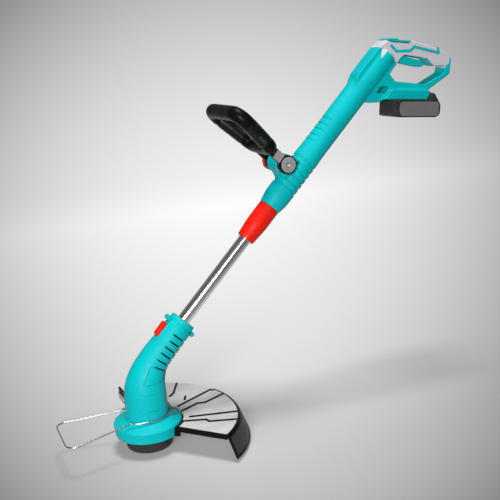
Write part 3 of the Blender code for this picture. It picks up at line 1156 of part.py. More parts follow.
def loop_path():
    """The auxiliary loop's centre line in the aux frame, as (x, y, radius) points."""
    slope = math.atan2(LOOP_FAR_HALF - LOOP_NEAR_HALF, LOOP_FAR - LOOP_NEAR)
    inset = LOOP_CORNER
    far_x = LOOP_FAR - inset
    far_y = LOOP_FAR_HALF - inset
    near_x = LOOP_NEAR + inset
    near_y = LOOP_NEAR_HALF - inset
    half = []
    half += [(x, y, LOOP_RADIUS) for x, y in circle(inset, 6, x=far_x, z=far_y, sweep=math.pi / 2 + slope)]
    start = math.pi / 2 + slope
    near = circle(inset, 6, x=near_x, z=near_y, start=start, sweep=math.pi - start)
    far_end = Vector(half[-1][:2])
    along = (Vector(near[0]) - far_end).normalized()
    half.append((*(far_end + along * GRIP_END_GAP), LOOP_CORE_RADIUS))
    half.append((*(Vector(near[0]) - along * GRIP_END_GAP), LOOP_CORE_RADIUS))
    half += [(x, y, LOOP_RADIUS) for x, y in near]
    other = [(x, -y, r) for x, y, r in reversed(half)]
    return half + other


def build_grip(name, mirrored):
    """The rubber grip round one side bar of the loop."""
    bar = [Vector(point[:2]) for point in loop_path()[6:8]]
    along = (bar[1] - bar[0]).normalized()
    length = (bar[1] - bar[0]).length
    side = -1 if mirrored else 1
    turn = math.atan2(along.y * side, along.x)
    start = Matrix.Translation((bar[0].x, bar[0].y * side, 0)) @ Matrix.Rotation(turn, 4, "Z")
    low = GAP
    high = length - GAP
    bore = LOOP_CORE_RADIUS + GAP
    profile = ((bore, low), (GRIP_RADIUS - 0.002, low), (GRIP_RADIUS, low + 0.002), (GRIP_RADIUS, high - 0.002),
               (GRIP_RADIUS - 0.002, high), (bore, high))
    return lathe(name, profile, RUBBER, AUX @ start @ Matrix.Rotation(math.pi / 2, 4, "Y"), 20)


def loop_rings(sides):
    """Rings round the loop's centre line, thinner where the rubber grips sit."""
    path = loop_path()
    rings = []
    count = len(path)
    for i, (x, y, radius) in enumerate(path):
        before = Vector(path[i - 1][:2])
        after = Vector(path[(i + 1) % count][:2])
        along = (after - before).normalized()
        across = Vector((along.y, -along.x))
        rings.append([(x + across.x * r, y + across.y * r, s) for r, s in circle(radius, sides)])
    return rings


def build_aux_handle():
    """The loop handle with its two arms, rubber grips, arm plate and pivot cap."""
    frame = solid_of_rings("aux_handle_frame", loop_rings(LOOP_SIDES), BLACK, AUX, closed=True)
    arm_reach = LOOP_NEAR + 0.004
    for side in (1, -1):
        inner = side * (LUG_HALF_WIDTH + GAP)
        outer = side * HUB_OUTER_Y
        low, high = sorted((inner, outer))
        hub = rod("hub", HUB_RADIUS, low, high, BLACK, along_y(AUX, 0, 0), 22)
        arm_low, arm_high = sorted((outer, outer - side * ARM_THICKNESS))
        outline = ((0.0, -ARM_HALF_HEIGHT), (arm_reach, -ARM_HALF_HEIGHT * 0.9),
                   (arm_reach, ARM_HALF_HEIGHT * 0.9), (0.0, ARM_HALF_HEIGHT))
        arm = prism("arm", outline, arm_low + 0.0006, arm_high - 0.0006, BLACK, AUX)
        join(hub, arm)
        join(frame, hub)
    cut(frame, rod("cutter", BOLT_RADIUS + GAP, -FAR, FAR, BLACK, along_y(AUX, 0, 0)))
    face = -HUB_OUTER_Y
    plate_end = LOOP_NEAR - LOOP_RADIUS - 0.0015
    plate_outline = ((HUB_RADIUS + GAP, -ARM_HALF_HEIGHT * 0.95), (plate_end, -ARM_HALF_HEIGHT * 0.9),
                     (plate_end, ARM_HALF_HEIGHT * 0.9), (HUB_RADIUS + GAP, ARM_HALF_HEIGHT * 0.95))
    plate = prism("arm_plate", plate_outline, face - 0.0007, face + 0.0003, SILVER, AUX)
    washer = AUX @ Matrix.Rotation(math.pi / 2, 4, "X") @ Matrix.Translation((0, 0, HUB_OUTER_Y + GAP))
    cap = lathe("pivot_cap", (
        (BOLT_RADIUS + 0.0006, 0.0), (CAP_RADIUS, 0.0), (CAP_RADIUS, CAP_THICKNESS * 0.6),
        (CAP_RADIUS - 0.0008, CAP_THICKNESS), (BOLT_RADIUS + 0.0006, CAP_THICKNESS),
    ), SILVER, washer, 32)
    grips = [build_grip("aux_grip_left", True), build_grip("aux_grip_right", False)]
    return [frame, plate, cap] + grips


def build_pivot_bolt():
    """The bolt through the lug and both arms, with its head on the left."""
    reach = HUB_OUTER_Y
    profile = ((0.0, -reach - CAP_THICKNESS), (BOLT_RADIUS, -reach - CAP_THICKNESS), (BOLT_RADIUS, BOLT_END_Y),
               (0.0, BOLT_END_Y))
    return lathe("pivot_bolt", profile, STEEL, along_y(PIVOT, 0, 0), 16)


def build_knob():
    """The lobed clamp knob on the bolt's right end."""
    low = HUB_OUTER_Y + GAP
    steps = KNOB_LOBES * 6
    rings = []
    for height, shrink in ((low, 0.0015), (low + 0.002, 0.0), (low + KNOB_THICKNESS - 0.002, 0.0),
                           (low + KNOB_THICKNESS, 0.0020)):
        ring = []
        for step in range(steps):
            turn = 2 * math.pi * step / steps
            radius = KNOB_RADIUS - shrink - KNOB_LOBE_DEPTH * (1 - math.cos(KNOB_LOBES * turn)) / 2
            ring.append((radius * math.cos(turn), radius * math.sin(turn), height))
        rings.append(ring)
    knob = solid_of_rings("clamp_knob", rings, RED, along_y(PIVOT, 0, 0))
    cut(knob, rod("cutter", BOLT_RADIUS + GAP, 0.0, BOLT_END_Y + GAP, RED, along_y(PIVOT, 0, 0)))
    return knob


def main():
    """Build every piece and stand the moving ones on their joints."""
    for old in list(bpy.data.objects):
        bpy.data.objects.remove(old)
    build_rear_housing()
    build_handle_fittings()
    build_collet()
    build_pivot_bolt()
    x, z = TRIGGER_PIVOT
    on_joint("trigger_joint", HANDLE @ Vector((x, 0, z)), [build_trigger()])
    on_joint("lock_off_joint", HANDLE @ Vector((LOCK_OUTLINE[1][0], 0, LOCK_OUTLINE[1][1])), [build_lock_button()])
    on_joint("battery_joint", RAIL @ Vector((0, 0, 0)), build_battery())
    on_joint("latch_joint", RAIL @ Vector((LATCH_OUTLINE[0][0], 0, LATCH_OUTLINE[0][1])), [build_latch()])
    on_joint("collar_joint", SHAFT @ Vector((0, 0, COLLAR_LOW)), [build_collar()])
    on_joint("tube_joint", SHAFT @ Vector((0, 0, TUBE_LOW)), build_tube())
    on_joint("aux_handle_joint", PIVOT @ Vector((0, 0, 0)), build_aux_handle())
    on_joint("knob_joint", PIVOT @ Vector((0, HUB_OUTER_Y, 0)), [build_knob()])
    on_joint("head_joint", SHAFT @ Vector((0, 0, NECK_END)), build_head())
    on_joint("release_joint", SIDE @ Vector((BUTTON_STATION, 0, NECK_RADIUS)), [build_release_button()])
    on_joint("spool_joint", Vector((0, 0, COVER_TOP_Z)), build_spool())
    on_joint("bump_joint", Vector((0, 0, 0)), build_bump_feed())
    on_joint("plant_guard_joint", Vector((WIRE_END_X, 0, WIRE_Z)), [build_plant_guard()])


main()
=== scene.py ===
"""Cordless string trimmer: the finished look of every piece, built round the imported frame, in metres."""

import json
import logging
import math
from dataclasses import dataclass, field
from enum import Enum
from typing import Iterable, Optional, Sequence

import bmesh
import bpy
from mathutils import Matrix, Vector

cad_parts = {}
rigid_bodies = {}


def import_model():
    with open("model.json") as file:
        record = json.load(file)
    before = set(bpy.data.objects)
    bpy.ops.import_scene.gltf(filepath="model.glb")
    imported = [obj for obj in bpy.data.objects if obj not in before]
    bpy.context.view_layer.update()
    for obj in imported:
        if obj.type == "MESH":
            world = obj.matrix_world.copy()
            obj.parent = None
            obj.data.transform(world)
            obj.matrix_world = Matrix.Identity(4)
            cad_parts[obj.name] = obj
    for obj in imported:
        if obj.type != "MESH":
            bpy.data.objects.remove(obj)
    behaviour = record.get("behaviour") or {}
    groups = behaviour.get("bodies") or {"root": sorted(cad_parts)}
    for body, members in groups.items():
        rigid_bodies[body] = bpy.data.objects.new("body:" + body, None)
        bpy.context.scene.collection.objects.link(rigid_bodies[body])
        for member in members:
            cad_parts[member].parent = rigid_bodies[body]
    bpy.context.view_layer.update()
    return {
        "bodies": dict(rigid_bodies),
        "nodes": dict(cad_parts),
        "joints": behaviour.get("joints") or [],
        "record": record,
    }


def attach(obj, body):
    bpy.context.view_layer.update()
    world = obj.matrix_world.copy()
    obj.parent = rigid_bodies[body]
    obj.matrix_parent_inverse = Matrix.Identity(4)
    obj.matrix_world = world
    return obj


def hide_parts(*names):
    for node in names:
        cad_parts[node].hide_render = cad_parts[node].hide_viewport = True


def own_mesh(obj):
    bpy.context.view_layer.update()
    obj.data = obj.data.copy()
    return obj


LOG = logging.getLogger("trimmer")

Point = tuple[float, float]
Rounded = tuple[float, float, float]

# Fits shared by all pieces
GAP = 0.0003
RUN = 0.0006
WALL = 0.0025
WELD = 1e-6
RING_SIDES = 12
FULL_TURN = 2 * math.pi
FAR = 0.3

# Sizes and places that several pieces share
TUBE_RADIUS = 0.0125
LUG_HALF = 0.021
CROSSING_Z = 0.147
HANDLE_STATION = 0.740
PIVOT_STATION = 0.4745
PIVOT_HEIGHT = 0.0375

# Frames: each maps a local point to the row frame
WORLD = Matrix.Identity(4)
SHAFT_TILT = math.radians(45.0)
SHAFT = Matrix.Translation((0.0, 0.0, CROSSING_Z)) @ Matrix.Rotation(math.pi / 2 - SHAFT_TILT, 4, "Y")
SIDE = SHAFT @ Matrix.Rotation(-math.pi / 2, 4, "Y")
HANDLE = SIDE @ Matrix.Translation((HANDLE_STATION, 0.0, 0.0)) @ Matrix.Rotation(math.radians(45.0), 4, "Y")
RAIL = HANDLE @ Matrix.Translation((0.0097, 0.0, -0.0588)) @ Matrix.Rotation(math.radians(5.0), 4, "Y")
PIVOT = SIDE @ Matrix.Translation((PIVOT_STATION, 0.0, PIVOT_HEIGHT))
AUX = PIVOT @ Matrix.Rotation(-math.radians(91.0), 4, "Y")
ALONG_Y = Matrix.Rotation(-math.pi / 2, 4, "X")
ALONG_X = Matrix.Rotation(-math.pi / 2, 4, "Z")


HANDLE_OUTLINE: tuple[Rounded, ...] = (
    (-0.068, -0.046, 0.004), (-0.054, -0.026, 0.004), (-0.046, -0.0066, 0.006), (0.003, 0.0420, 0.004),
    (0.0257, 0.0575, 0.005), (0.0497, 0.0560, 0.004), (0.0827, 0.0490, 0.004), (0.1500, 0.0295, 0.008),
    (0.1680, 0.0187, 0.006), (0.1740, 0.0097, 0.004), (0.1705, -0.0213, 0.006), (0.1197, -0.0478, 0.005),
    (0.1067, -0.0603, 0.003), (0.0137, -0.0590, 0.003), (0.0017, -0.0643, 0.003), (-0.0263, -0.0633, 0.005),
    (-0.043, -0.051, 0.005),
)


class Operation(Enum):
    """What a Boolean does with its tool."""

    CUT = "DIFFERENCE"
    JOIN = "UNION"
    KEEP = "INTERSECT"


class Hand(Enum):
    """A side of the tool, by the sign of its Y."""

    LEFT = -1
    RIGHT = 1

    @property
    def word(self) -> str:
        """The side as the last word of a piece's name."""
        return self.name.lower()


class NodeBench:
    """Adds shader nodes to one material."""

    def __init__(self, name: str) -> None:
        """Start a material with its Principled shader.

        Args:
            name: The material's name.
        """
        self.material = bpy.data.materials.new(name)
        self.material.use_nodes = True
        self.tree = self.material.node_tree
        self.shader = self.tree.nodes["Principled BSDF"]

    def node(self, kind: str, **inputs: object) -> bpy.types.Node:
        """Add a node and set its input sockets by name.

        Args:
            kind: The node's type, without its ShaderNode prefix.
            **inputs: Socket values, with spaces in the names as underscores.

        Returns:
            The new node.
        """
        made = self.tree.nodes.new("ShaderNode" + kind)
        for socket, value in inputs.items():
            made.inputs[socket.replace("_", " ")].default_value = value
        return made

    def link(self, source: bpy.types.NodeSocket, target: bpy.types.NodeSocket) -> None:
        """Join an output to an input."""
        self.tree.links.new(source, target)

    def feed(self, name: str, source: bpy.types.NodeSocket) -> None:
        """Join an output to an input of the Principled shader."""
        self.link(source, self.shader.inputs[name])

    def preset(self, **inputs: object) -> None:
        """Set inputs of the Principled shader, named as in node()."""
        for socket, value in inputs.items():
            self.shader.inputs[socket.replace("_", " ")].default_value = value

    def place(self, turn: Sequence[float] = (0.0, 0.0, 0.0),
              stretch: Sequence[float] = (1.0, 1.0, 1.0)) -> bpy.types.NodeSocket:
        """Give the object coordinates, turned and stretched.

        Args:
            turn: Euler angles in radians.
            stretch: Scale along each turned axis.

        Returns:
            The vector output.
        """
        coordinates = self.node("TexCoord")
        mapping = self.node("Mapping")
        mapping.inputs["Rotation"].default_value = turn
        self.link(coordinates.outputs["Object"], mapping.inputs["Vector"])
        second = self.node("Mapping")
        second.inputs["Scale"].default_value = stretch
        self.link(mapping.outputs["Vector"], second.inputs["Vector"])
        return second.outputs["Vector"]

    def noise(self, vector: bpy.types.NodeSocket, scale: float, detail: float = 2.0) -> bpy.types.NodeSocket:
        """Add a noise texture and return its factor.

        Args:
            vector: The coordinates.
            scale: Cells per metre.
            detail: Octaves.

        Returns:
            The factor output.
        """
        made = self.node("TexNoise", Scale=scale, Detail=detail)
        self.link(vector, made.inputs["Vector"])
        return made.outputs["Fac"]

    def ranged(self, value: bpy.types.NodeSocket, low: float, high: float, start: float = 0.3,
               end: float = 0.7) -> bpy.types.NodeSocket:
        """Map a factor from start..end to low..high.

        Args:
            value: The factor.
            low: Result at start.
            high: Result at end.
            start: Factor where the range begins.
            end: Factor where the range ends.

        Returns:
            The result output.
        """
        made = self.node("MapRange")
        made.inputs["From Min"].default_value = start
        made.inputs["From Max"].default_value = end
        made.inputs["To Min"].default_value = low
        made.inputs["To Max"].default_value = high
        self.link(value, made.inputs["Value"])
        return made.outputs["Result"]

    def mixed(self, factor: bpy.types.NodeSocket, low: Sequence[float],
              high: Sequence[float]) -> bpy.types.NodeSocket:
        """Mix two colours by a factor.

        Args:
            factor: From 0 to 1.
            low: The colour at 0.
            high: The colour at 1.

        Returns:
            The colour output.
        """
        made = self.tree.nodes.new("ShaderNodeMix")
        made.data_type = "RGBA"
        colours = [socket for socket in made.inputs if socket.type == "RGBA"]
        for socket, colour in zip(colours, (low, high)):
            socket.default_value = (*colour, 1.0)
        self.link(factor, made.inputs[0])
        return next(socket for socket in made.outputs if socket.type == "RGBA")

    def calculated(self, operation: str, first: bpy.types.NodeSocket,
                   second: bpy.types.NodeSocket) -> bpy.types.NodeSocket:
        """Two values put together, kept between 0 and 1.

        Args:
            operation: The sum to do.
            first: One value.
            second: The other.

        Returns:
            The result output.
        """
        made = self.node("Math")
        made.operation = operation
        made.use_clamp = True
        self.link(first, made.inputs[0])
        self.link(second, made.inputs[1])
        return made.outputs["Value"]

    def vector(self, operation: str, first: bpy.types.NodeSocket,
               second: Sequence[float] = (0.0, 0.0, 0.0)) -> bpy.types.Node:
        """Do one vector sum.

        Args:
            operation: The sum to do.
            first: The vector.
            second: The fixed vector beside it.

        Returns:
            The node.
        """
        made = self.node("VectorMath")
        made.operation = operation
        made.inputs[1].default_value = second
        self.link(first, made.inputs[0])
        return made

    def bump(self, height: bpy.types.NodeSocket, depth: float, strength: float = 1.0,
             below: Optional[bpy.types.NodeSocket] = None) -> bpy.types.NodeSocket:
        """Turn a height into a normal.

        Args:
            height: The height factor.
            depth: Metres from lowest to highest.
            strength: Share of the effect.
            below: A normal that this one lies on.

        Returns:
            The normal output.
        """
        made = self.node("Bump", Strength=strength, Distance=depth)
        self.link(height, made.inputs["Height"])
        if below is not None:
            self.link(below, made.inputs["Normal"])
        return made.outputs["Normal"]


def shade(values: Sequence[float], share: float) -> tuple[float, ...]:
    """Each value multiplied by a share, kept under 1."""
    return tuple(min(1.0, value * share) for value in values)


@dataclass(frozen=True)
class Finish:
    """A finish that all pieces of one kind share."""

    name: str
    colour: tuple[float, float, float]
    roughness: float

    @property
    def label(self) -> str:
        """The material's name, apart from the frame's own materials."""
        return f"{self.name}_finish"

    def made(self) -> bpy.types.Material:
        """The finish's material, built on first use."""
        return bpy.data.materials.get(self.label) or self.build()

    def build(self) -> bpy.types.Material:
        """Build the material."""
        raise NotImplementedError


@dataclass(frozen=True)
class Moulding(Finish):
    """Injection-moulded plastic or rubber with a fine etched grain."""

    grain: float = 1400.0
    grain_depth: float = 0.00004
    mottle: float = 0.05
    gloss_spread: float = 0.05
    specular: float = 0.5
    cloud_scale: float = 22.0
    patch_scale: float = 130.0
    flow_scale: float = 60.0
    flow_depth: float = 0.00006
    flow_strength: float = 0.5

    def build(self) -> bpy.types.Material:
        """Build the material.

        Returns:
            The material.
        """
        bench = NodeBench(self.label)
        here = bench.place()
        broad = bench.ranged(bench.noise(here, self.cloud_scale, 3.0), 0.0, 1.0)
        bench.feed("Base Color", bench.mixed(broad, shade(self.colour, 1 - self.mottle),
                                             shade(self.colour, 1 + self.mottle)))
        patch = bench.noise(here, self.patch_scale)
        bench.feed("Roughness", bench.ranged(patch, self.roughness - self.gloss_spread,
                                             self.roughness + self.gloss_spread))
        etched = bench.bump(bench.noise(here, self.grain, 1.0), self.grain_depth)
        flow = bench.noise(here, self.flow_scale, 1.0)
        bench.feed("Normal", bench.bump(flow, self.flow_depth, self.flow_strength, below=etched))
        bench.preset(IOR=1.5, Specular_IOR_Level=self.specular)
        return bench.material


@dataclass(frozen=True)
class Metal(Finish):
    """Drawn, turned or plated metal, with fine lines along one direction."""

    turn: tuple[float, float, float] = (0.0, 0.0, 0.0)
    stretch: tuple[float, float, float] = (1.0, 1.0, 1.0)
    lines: float = 900.0
    line_depth: float = 0.00001
    tarnish: float = 0.06
    cloud_scale: float = 35.0
    gloss: Point = (0.75, 1.3)

    def build(self) -> bpy.types.Material:
        """Build the material.

        Returns:
            The material.
        """
        bench = NodeBench(self.label)
        drawn = bench.noise(bench.place(self.turn, self.stretch), self.lines)
        cloud = bench.ranged(bench.noise(bench.place(), self.cloud_scale, 3.0), 0.0, 1.0)
        bench.feed("Base Color", bench.mixed(cloud, shade(self.colour, 1 - self.tarnish), self.colour))
        bench.feed("Roughness", bench.ranged(drawn, *shade(self.gloss, self.roughness)))
        bench.feed("Normal", bench.bump(drawn, self.line_depth))
        bench.preset(Metallic=1.0)
        return bench.material


@dataclass(frozen=True)
class SmokedSheet(Finish):
    """Clear smoky sheet with faint flow lines and fine scuffs."""

    solid: float = 0.86
    cloud: Point = (3.0, 16.0)
    scuffs: Point = (6.0, 160.0)
    shades: Point = (0.9, 1.08)
    gloss: Point = (0.7, 1.5)
    flow_scale: float = 45.0
    flow_depth: float = 0.00008

    def streaks(self, bench: NodeBench, kind: Point) -> bpy.types.NodeSocket:
        """Noise that is drawn out along X.

        Args:
            bench: The material.
            kind: Its stretch and its scale.

        Returns:
            The factor output.
        """
        stretch, scale = kind
        return bench.noise(bench.place(stretch=(1.0, stretch, 1.0)), scale, 3.0)

    def build(self) -> bpy.types.Material:
        """Build the material.

        Returns:
            The material.
        """
        bench = NodeBench(self.label)
        cloud = bench.ranged(self.streaks(bench, self.cloud), 0.0, 1.0)
        dark, light = self.shades
        bench.feed("Base Color", bench.mixed(cloud, shade(self.colour, dark), shade(self.colour, light)))
        scuff = self.streaks(bench, self.scuffs)
        bench.feed("Roughness", bench.ranged(scuff, *shade(self.gloss, self.roughness)))
        flow = bench.noise(bench.place(), self.flow_scale, 1.0)
        bench.feed("Normal", bench.bump(flow, self.flow_depth))
        bench.preset(Alpha=self.solid)
        return bench.material


TEAL = Moulding("teal_plastic", (0.0, 0.50, 0.53), 0.48, specular=0.14)
WHITE = Moulding("white_plastic", (0.66, 0.64, 0.68), 0.45, mottle=0.02, specular=0.25)
RED = Moulding("red_plastic", (0.84, 0.012, 0.002), 0.40, specular=0.2)
BLACK = Moulding("black_plastic", (0.004, 0.004, 0.004), 0.38, grain=900.0, specular=0.10)
RUBBER = Moulding("black_rubber", (0.006, 0.006, 0.006), 0.34, grain=1100.0, grain_depth=0.00008,
                  specular=0.25)
GREY = Moulding("dark_grey_plastic", (0.030, 0.030, 0.030), 0.44, grain=1000.0, grain_depth=0.00006,
                specular=0.3)
LABEL = Moulding("label_grey", (0.170, 0.170, 0.170), 0.36, grain=1800.0, grain_depth=0.00002)
SMOKE = SmokedSheet("smoked_sheet", (0.74, 0.74, 0.74), 0.22)
ALUMINIUM = Metal("aluminium_tube", (0.86, 0.86, 0.87), 0.20, turn=(0.0, -math.pi / 4, 0.0),
                  stretch=(1.0, 1.0, 0.01))
STEEL = Metal("steel", (0.55, 0.55, 0.56), 0.30)
BRIGHT = Metal("bright_steel", (0.90, 0.90, 0.90), 0.50)
CHROME = Metal("chrome_wire", (0.60, 0.60, 0.61), 0.20, lines=400.0)
SILVER = Moulding("silver_paint", (0.30, 0.30, 0.30), 0.40, grain=2200.0, grain_depth=0.00003)
NYLON = Moulding("nylon_line", (0.75, 0.35, 0.05), 0.35, grain=700.0)
CELL = Moulding("cell_wrap", (0.05, 0.20, 0.45), 0.30)
LEAD = Moulding("lead_jacket", (0.02, 0.02, 0.02), 0.50)

HIDDEN_NODES: dict[str, Finish] = {
    "switch_unit": BLACK, "terminal_block": BLACK, "trigger_pin": STEEL, "tube_collet": BLACK,
    "tube_plug": BLACK, "swivel_sleeve": BLACK, "motor_lead": LEAD, "motor_can": STEEL,
    "motor_bearing": STEEL, "motor_rotor": STEEL, "spool_reel": BLACK, "wound_line": NYLON,
    **{f"battery_cell_{index}": CELL for index in range(1, 6)},
}


def object_from(name: str, bm: bmesh.types.BMesh, frame: Matrix = WORLD) -> bpy.types.Object:
    """Make an object of a bmesh, with its place in its mesh and its faces outwards.

    Args:
        name: The object's name.
        bm: The shape, in the frame; it is freed.
        frame: The frame that the shape is drawn in.

    Returns:
        The linked object.
    """
    bmesh.ops.remove_doubles(bm, verts=bm.verts, dist=WELD)
    bm.transform(frame)
    bm.normal_update()
    bmesh.ops.recalc_face_normals(bm, faces=bm.faces)
    mesh = bpy.data.meshes.new(name)
    bm.to_mesh(mesh)
    bm.free()
    made = bpy.data.objects.new(name, mesh)
    bpy.context.scene.collection.objects.link(made)
    return made


def outline_face(points: Sequence[Sequence[float]], y: float = 0.0, segments: int = 4) -> bmesh.types.BMesh:
    """A flat face in the XZ plane whose corners are rounded by each point's third value.

    Args:
        points: (x, z) or (x, z, rounding) corners in order.
        y: The face's height along Y.
        segments: Steps in each rounded corner.

    Returns:
        The bmesh with the one face.
    """
    bm = bmesh.new()
    corners = [bm.verts.new((point[0], y, point[1])) for point in points]
    bm.faces.new(corners)
    for corner, point in zip(corners, points):
        if len(point) > 2 and point[2] > 0:
            bmesh.ops.bevel(bm, geom=[corner], offset=point[2], offset_type="OFFSET", affect="VERTICES",
                            segments=segments, profile=0.5, material=-1)
    return bm


def prism(name: str, points: Sequence[Sequence[float]], y_low: float, y_high: float, frame: Matrix = WORLD,
          edge: float = 0.0, steps: int = 3, corner: float = 0.0) -> bpy.types.Object:
    """An outline drawn out along Y, with rounded corners and rims.

    Args:
        name: The object's name.
        points: The outline's corners in the frame's XZ plane.
        y_low: Lower end along Y.
        y_high: Upper end along Y.
        frame: The frame that it is drawn in.
        edge: Rounding of both rims.
        steps: Steps in the rims' rounding.
        corner: Rounding of corners that state none.

    Returns:
        The object.
    """
    rounded = [(*point[:2], point[2] if len(point) > 2 else corner) for point in points]
    bm = outline_face(rounded, y_low)
    grown = bmesh.ops.extrude_face_region(bm, geom=list(bm.faces))["geom"]
    bmesh.ops.translate(bm, vec=(0.0, y_high - y_low, 0.0),
                        verts=[v for v in grown if isinstance(v, bmesh.types.BMVert)])
    if edge > 0:
        rims = [e for e in bm.edges if abs(e.verts[0].co.y - e.verts[1].co.y) < WELD]
        bmesh.ops.bevel(bm, geom=rims, offset=edge, offset_type="OFFSET", affect="EDGES", segments=steps,
                        profile=0.5, material=-1, clamp_overlap=True)
    return object_from(name, bm, frame)


def block(name: str, low: Sequence[float], high: Sequence[float], frame: Matrix = WORLD,
          edge: float = 0.0) -> bpy.types.Object:
    """A block between two corners of a frame.

    Args:
        name: The object's name.
        low: Lowest corner.
        high: Highest corner.
        frame: The frame that it is drawn in.
        edge: Rounding of all its edges.

    Returns:
        The object.
    """
    outline = ((low[0], low[2]), (high[0], low[2]), (high[0], high[2]), (low[0], high[2]))
    return prism(name, outline, low[1], high[1], frame, edge, corner=edge)


def turned(name: str, profile: Sequence[Sequence[float]], frame: Matrix = WORLD, steps: int = 96,
           start: float = 0.0, sweep: float = FULL_TURN, segments: int = 3) -> bpy.types.Object:
    """A closed (radius, height, rounding) profile spun about the frame's Z axis.

    Args:
        name: The object's name.
        profile: The profile's corners in order.
        frame: The frame that it is drawn in.
        steps: Steps of the spin.
        start: Angle where the spin starts.
        sweep: Angle that it turns through.
        segments: Steps in each rounded corner.

    Returns:
        The object.
    """
    bm = outline_face(profile, segments=segments)
    whole = sweep > FULL_TURN - WELD
    bmesh.ops.delete(bm, geom=list(bm.faces), context="FACES_ONLY")
    bmesh.ops.rotate(bm, verts=bm.verts, cent=(0, 0, 0), matrix=Matrix.Rotation(start, 3, "Z"))
    bmesh.ops.spin(bm, geom=list(bm.verts) + list(bm.edges), cent=(0, 0, 0), axis=(0, 0, 1), angle=sweep,
                   steps=steps, use_merge=whole, use_duplicate=False)
    bmesh.ops.remove_doubles(bm, verts=bm.verts, dist=WELD)
    if not whole:
        bmesh.ops.holes_fill(bm, edges=[e for e in bm.edges if e.is_boundary])
    return object_from(name, bm, frame)


def rod(name: str, radius: float, low: float, high: float, frame: Matrix = WORLD, edge: float = 0.0,
        steps: int = 32) -> bpy.types.Object:
    """A round bar along the frame's Z axis, its ends rounded by edge."""
    return turned(name, ((0.0, low), (radius, low, edge), (radius, high, edge), (0.0, high)), frame, steps)


def ring(name: str, major: float, minor: float, height: float, frame: Matrix = WORLD, start: float = 0.0,
         sweep: float = FULL_TURN, steps: int = 96) -> bpy.types.Object:
    """A round bead that runs about the frame's Z axis.

    Args:
        name: The object's name.
        major: Radius of the bead's centre line.
        minor: Radius of the bead.
        height: Its place along Z.
        frame: The frame that it is drawn in.
        start: Angle where it starts.
        sweep: Angle that it turns through.
        steps: Steps of the spin.

    Returns:
        The object.
    """
    turns = (FULL_TURN * step / RING_SIDES for step in range(RING_SIDES))
    corners = [(major + minor * math.cos(turn), height + minor * math.sin(turn)) for turn in turns]
    return turned(name, corners, frame, steps, start, sweep)


def swept(name: str, frames: Sequence[Matrix], sides: int, closed: bool = False) -> bpy.types.Object:
    """A skin that carries a unit circle through a row of frames.

    Args:
        name: The object's name.
        frames: Where the circle stands, with its scale.
        sides: The circle's sides.
        closed: Whether the last circle joins the first.

    Returns:
        The object.
    """
    bm = bmesh.new()
    bmesh.ops.create_circle(bm, cap_ends=False, segments=sides, radius=1.0, matrix=frames[0])
    first = list(bm.edges)
    loop = first
    for before, after in zip(frames, frames[1:]):
        grown = bmesh.ops.extrude_edge_only(bm, edges=loop)["geom"]
        fresh = [v for v in grown if isinstance(v, bmesh.types.BMVert)]
        loop = [e for e in grown if isinstance(e, bmesh.types.BMEdge)
                and e.verts[0] in fresh and e.verts[1] in fresh]
        bmesh.ops.transform(bm, matrix=after @ before.inverted(), space=WORLD, verts=fresh)
    if closed:
        bmesh.ops.bridge_loops(bm, edges=first + loop)
    else:
        bmesh.ops.holes_fill(bm, edges=[e for e in bm.edges if e.is_boundary])
    return object_from(name, bm)


def apply_modifiers(target: bpy.types.Object) -> bpy.types.Object:
    """Bake an object's modifiers into its mesh.

    Args:
        target: The object.

    Returns:
        The same object.
    """
    bpy.context.view_layer.update()
    graph = bpy.context.evaluated_depsgraph_get()
    mesh = bpy.data.meshes.new_from_object(target.evaluated_get(graph))
    old = target.data
    target.modifiers.clear()
    target.data = mesh
    bpy.data.meshes.remove(old)
    return target


def carve(target: bpy.types.Object, operation: Operation, *tools: bpy.types.Object,
          exact: bool = False) -> bpy.types.Object:
    """Cut, join or keep with other solids, which are used up.

    Args:
        target: The solid that is shaped.
        operation: What to do.
        *tools: The other solids.
        exact: Whether to use the slower exact solver.

    Returns:
        The same object.
    """
    for tool in tools:
        boolean = target.modifiers.new("carve", "BOOLEAN")
        boolean.operation = operation.value
        boolean.solver = "EXACT" if exact else "MANIFOLD"
        boolean.object = tool
        apply_modifiers(target)
        if not target.data.polygons:
            LOG.warning("%s is empty after %s", target.name, operation.name)
        bpy.data.objects.remove(tool)
    return target


def twin(source: bpy.types.Object, name: str) -> bpy.types.Object:
    """A copy of an object with its own mesh."""
    made = bpy.data.objects.new(name, source.data.copy())
    bpy.context.scene.collection.objects.link(made)
    return made


def melted(target: bpy.types.Object, voxel: float, smoothing: int) -> bpy.types.Object:
    """Melt joined solids into one skin with soft blends.

    Args:
        target: The solid.
        voxel: Size of the skin's cells.
        smoothing: Rounds of smoothing.

    Returns:
        The same object.
    """
    remesh = target.modifiers.new("melt", "REMESH")
    remesh.mode = "VOXEL"
    remesh.voxel_size = voxel
    apply_modifiers(target)
    smooth = target.modifiers.new("soften", "SMOOTH")
    smooth.factor = 0.5
    smooth.iterations = smoothing
    return apply_modifiers(target)


def across(hand: Hand, first: float, second: float) -> list[float]:
    """Two distances from the middle plane on one side, as rising places along Y."""
    return sorted((hand.value * first, hand.value * second))


def halved(source: bpy.types.Object, hand: Hand, name: str) -> bpy.types.Object:
    """The part of a solid on one side of the middle plane, just short of it.

    Args:
        source: The whole solid.
        hand: The side to keep.
        name: The half's name.

    Returns:
        The half.
    """
    half = twin(source, name)
    reach = 4 * FAR
    low, high = across(hand, GAP / 2, FAR)
    return carve(half, Operation.KEEP, block("half", (-FAR, low, -FAR), (reach, high, reach)))


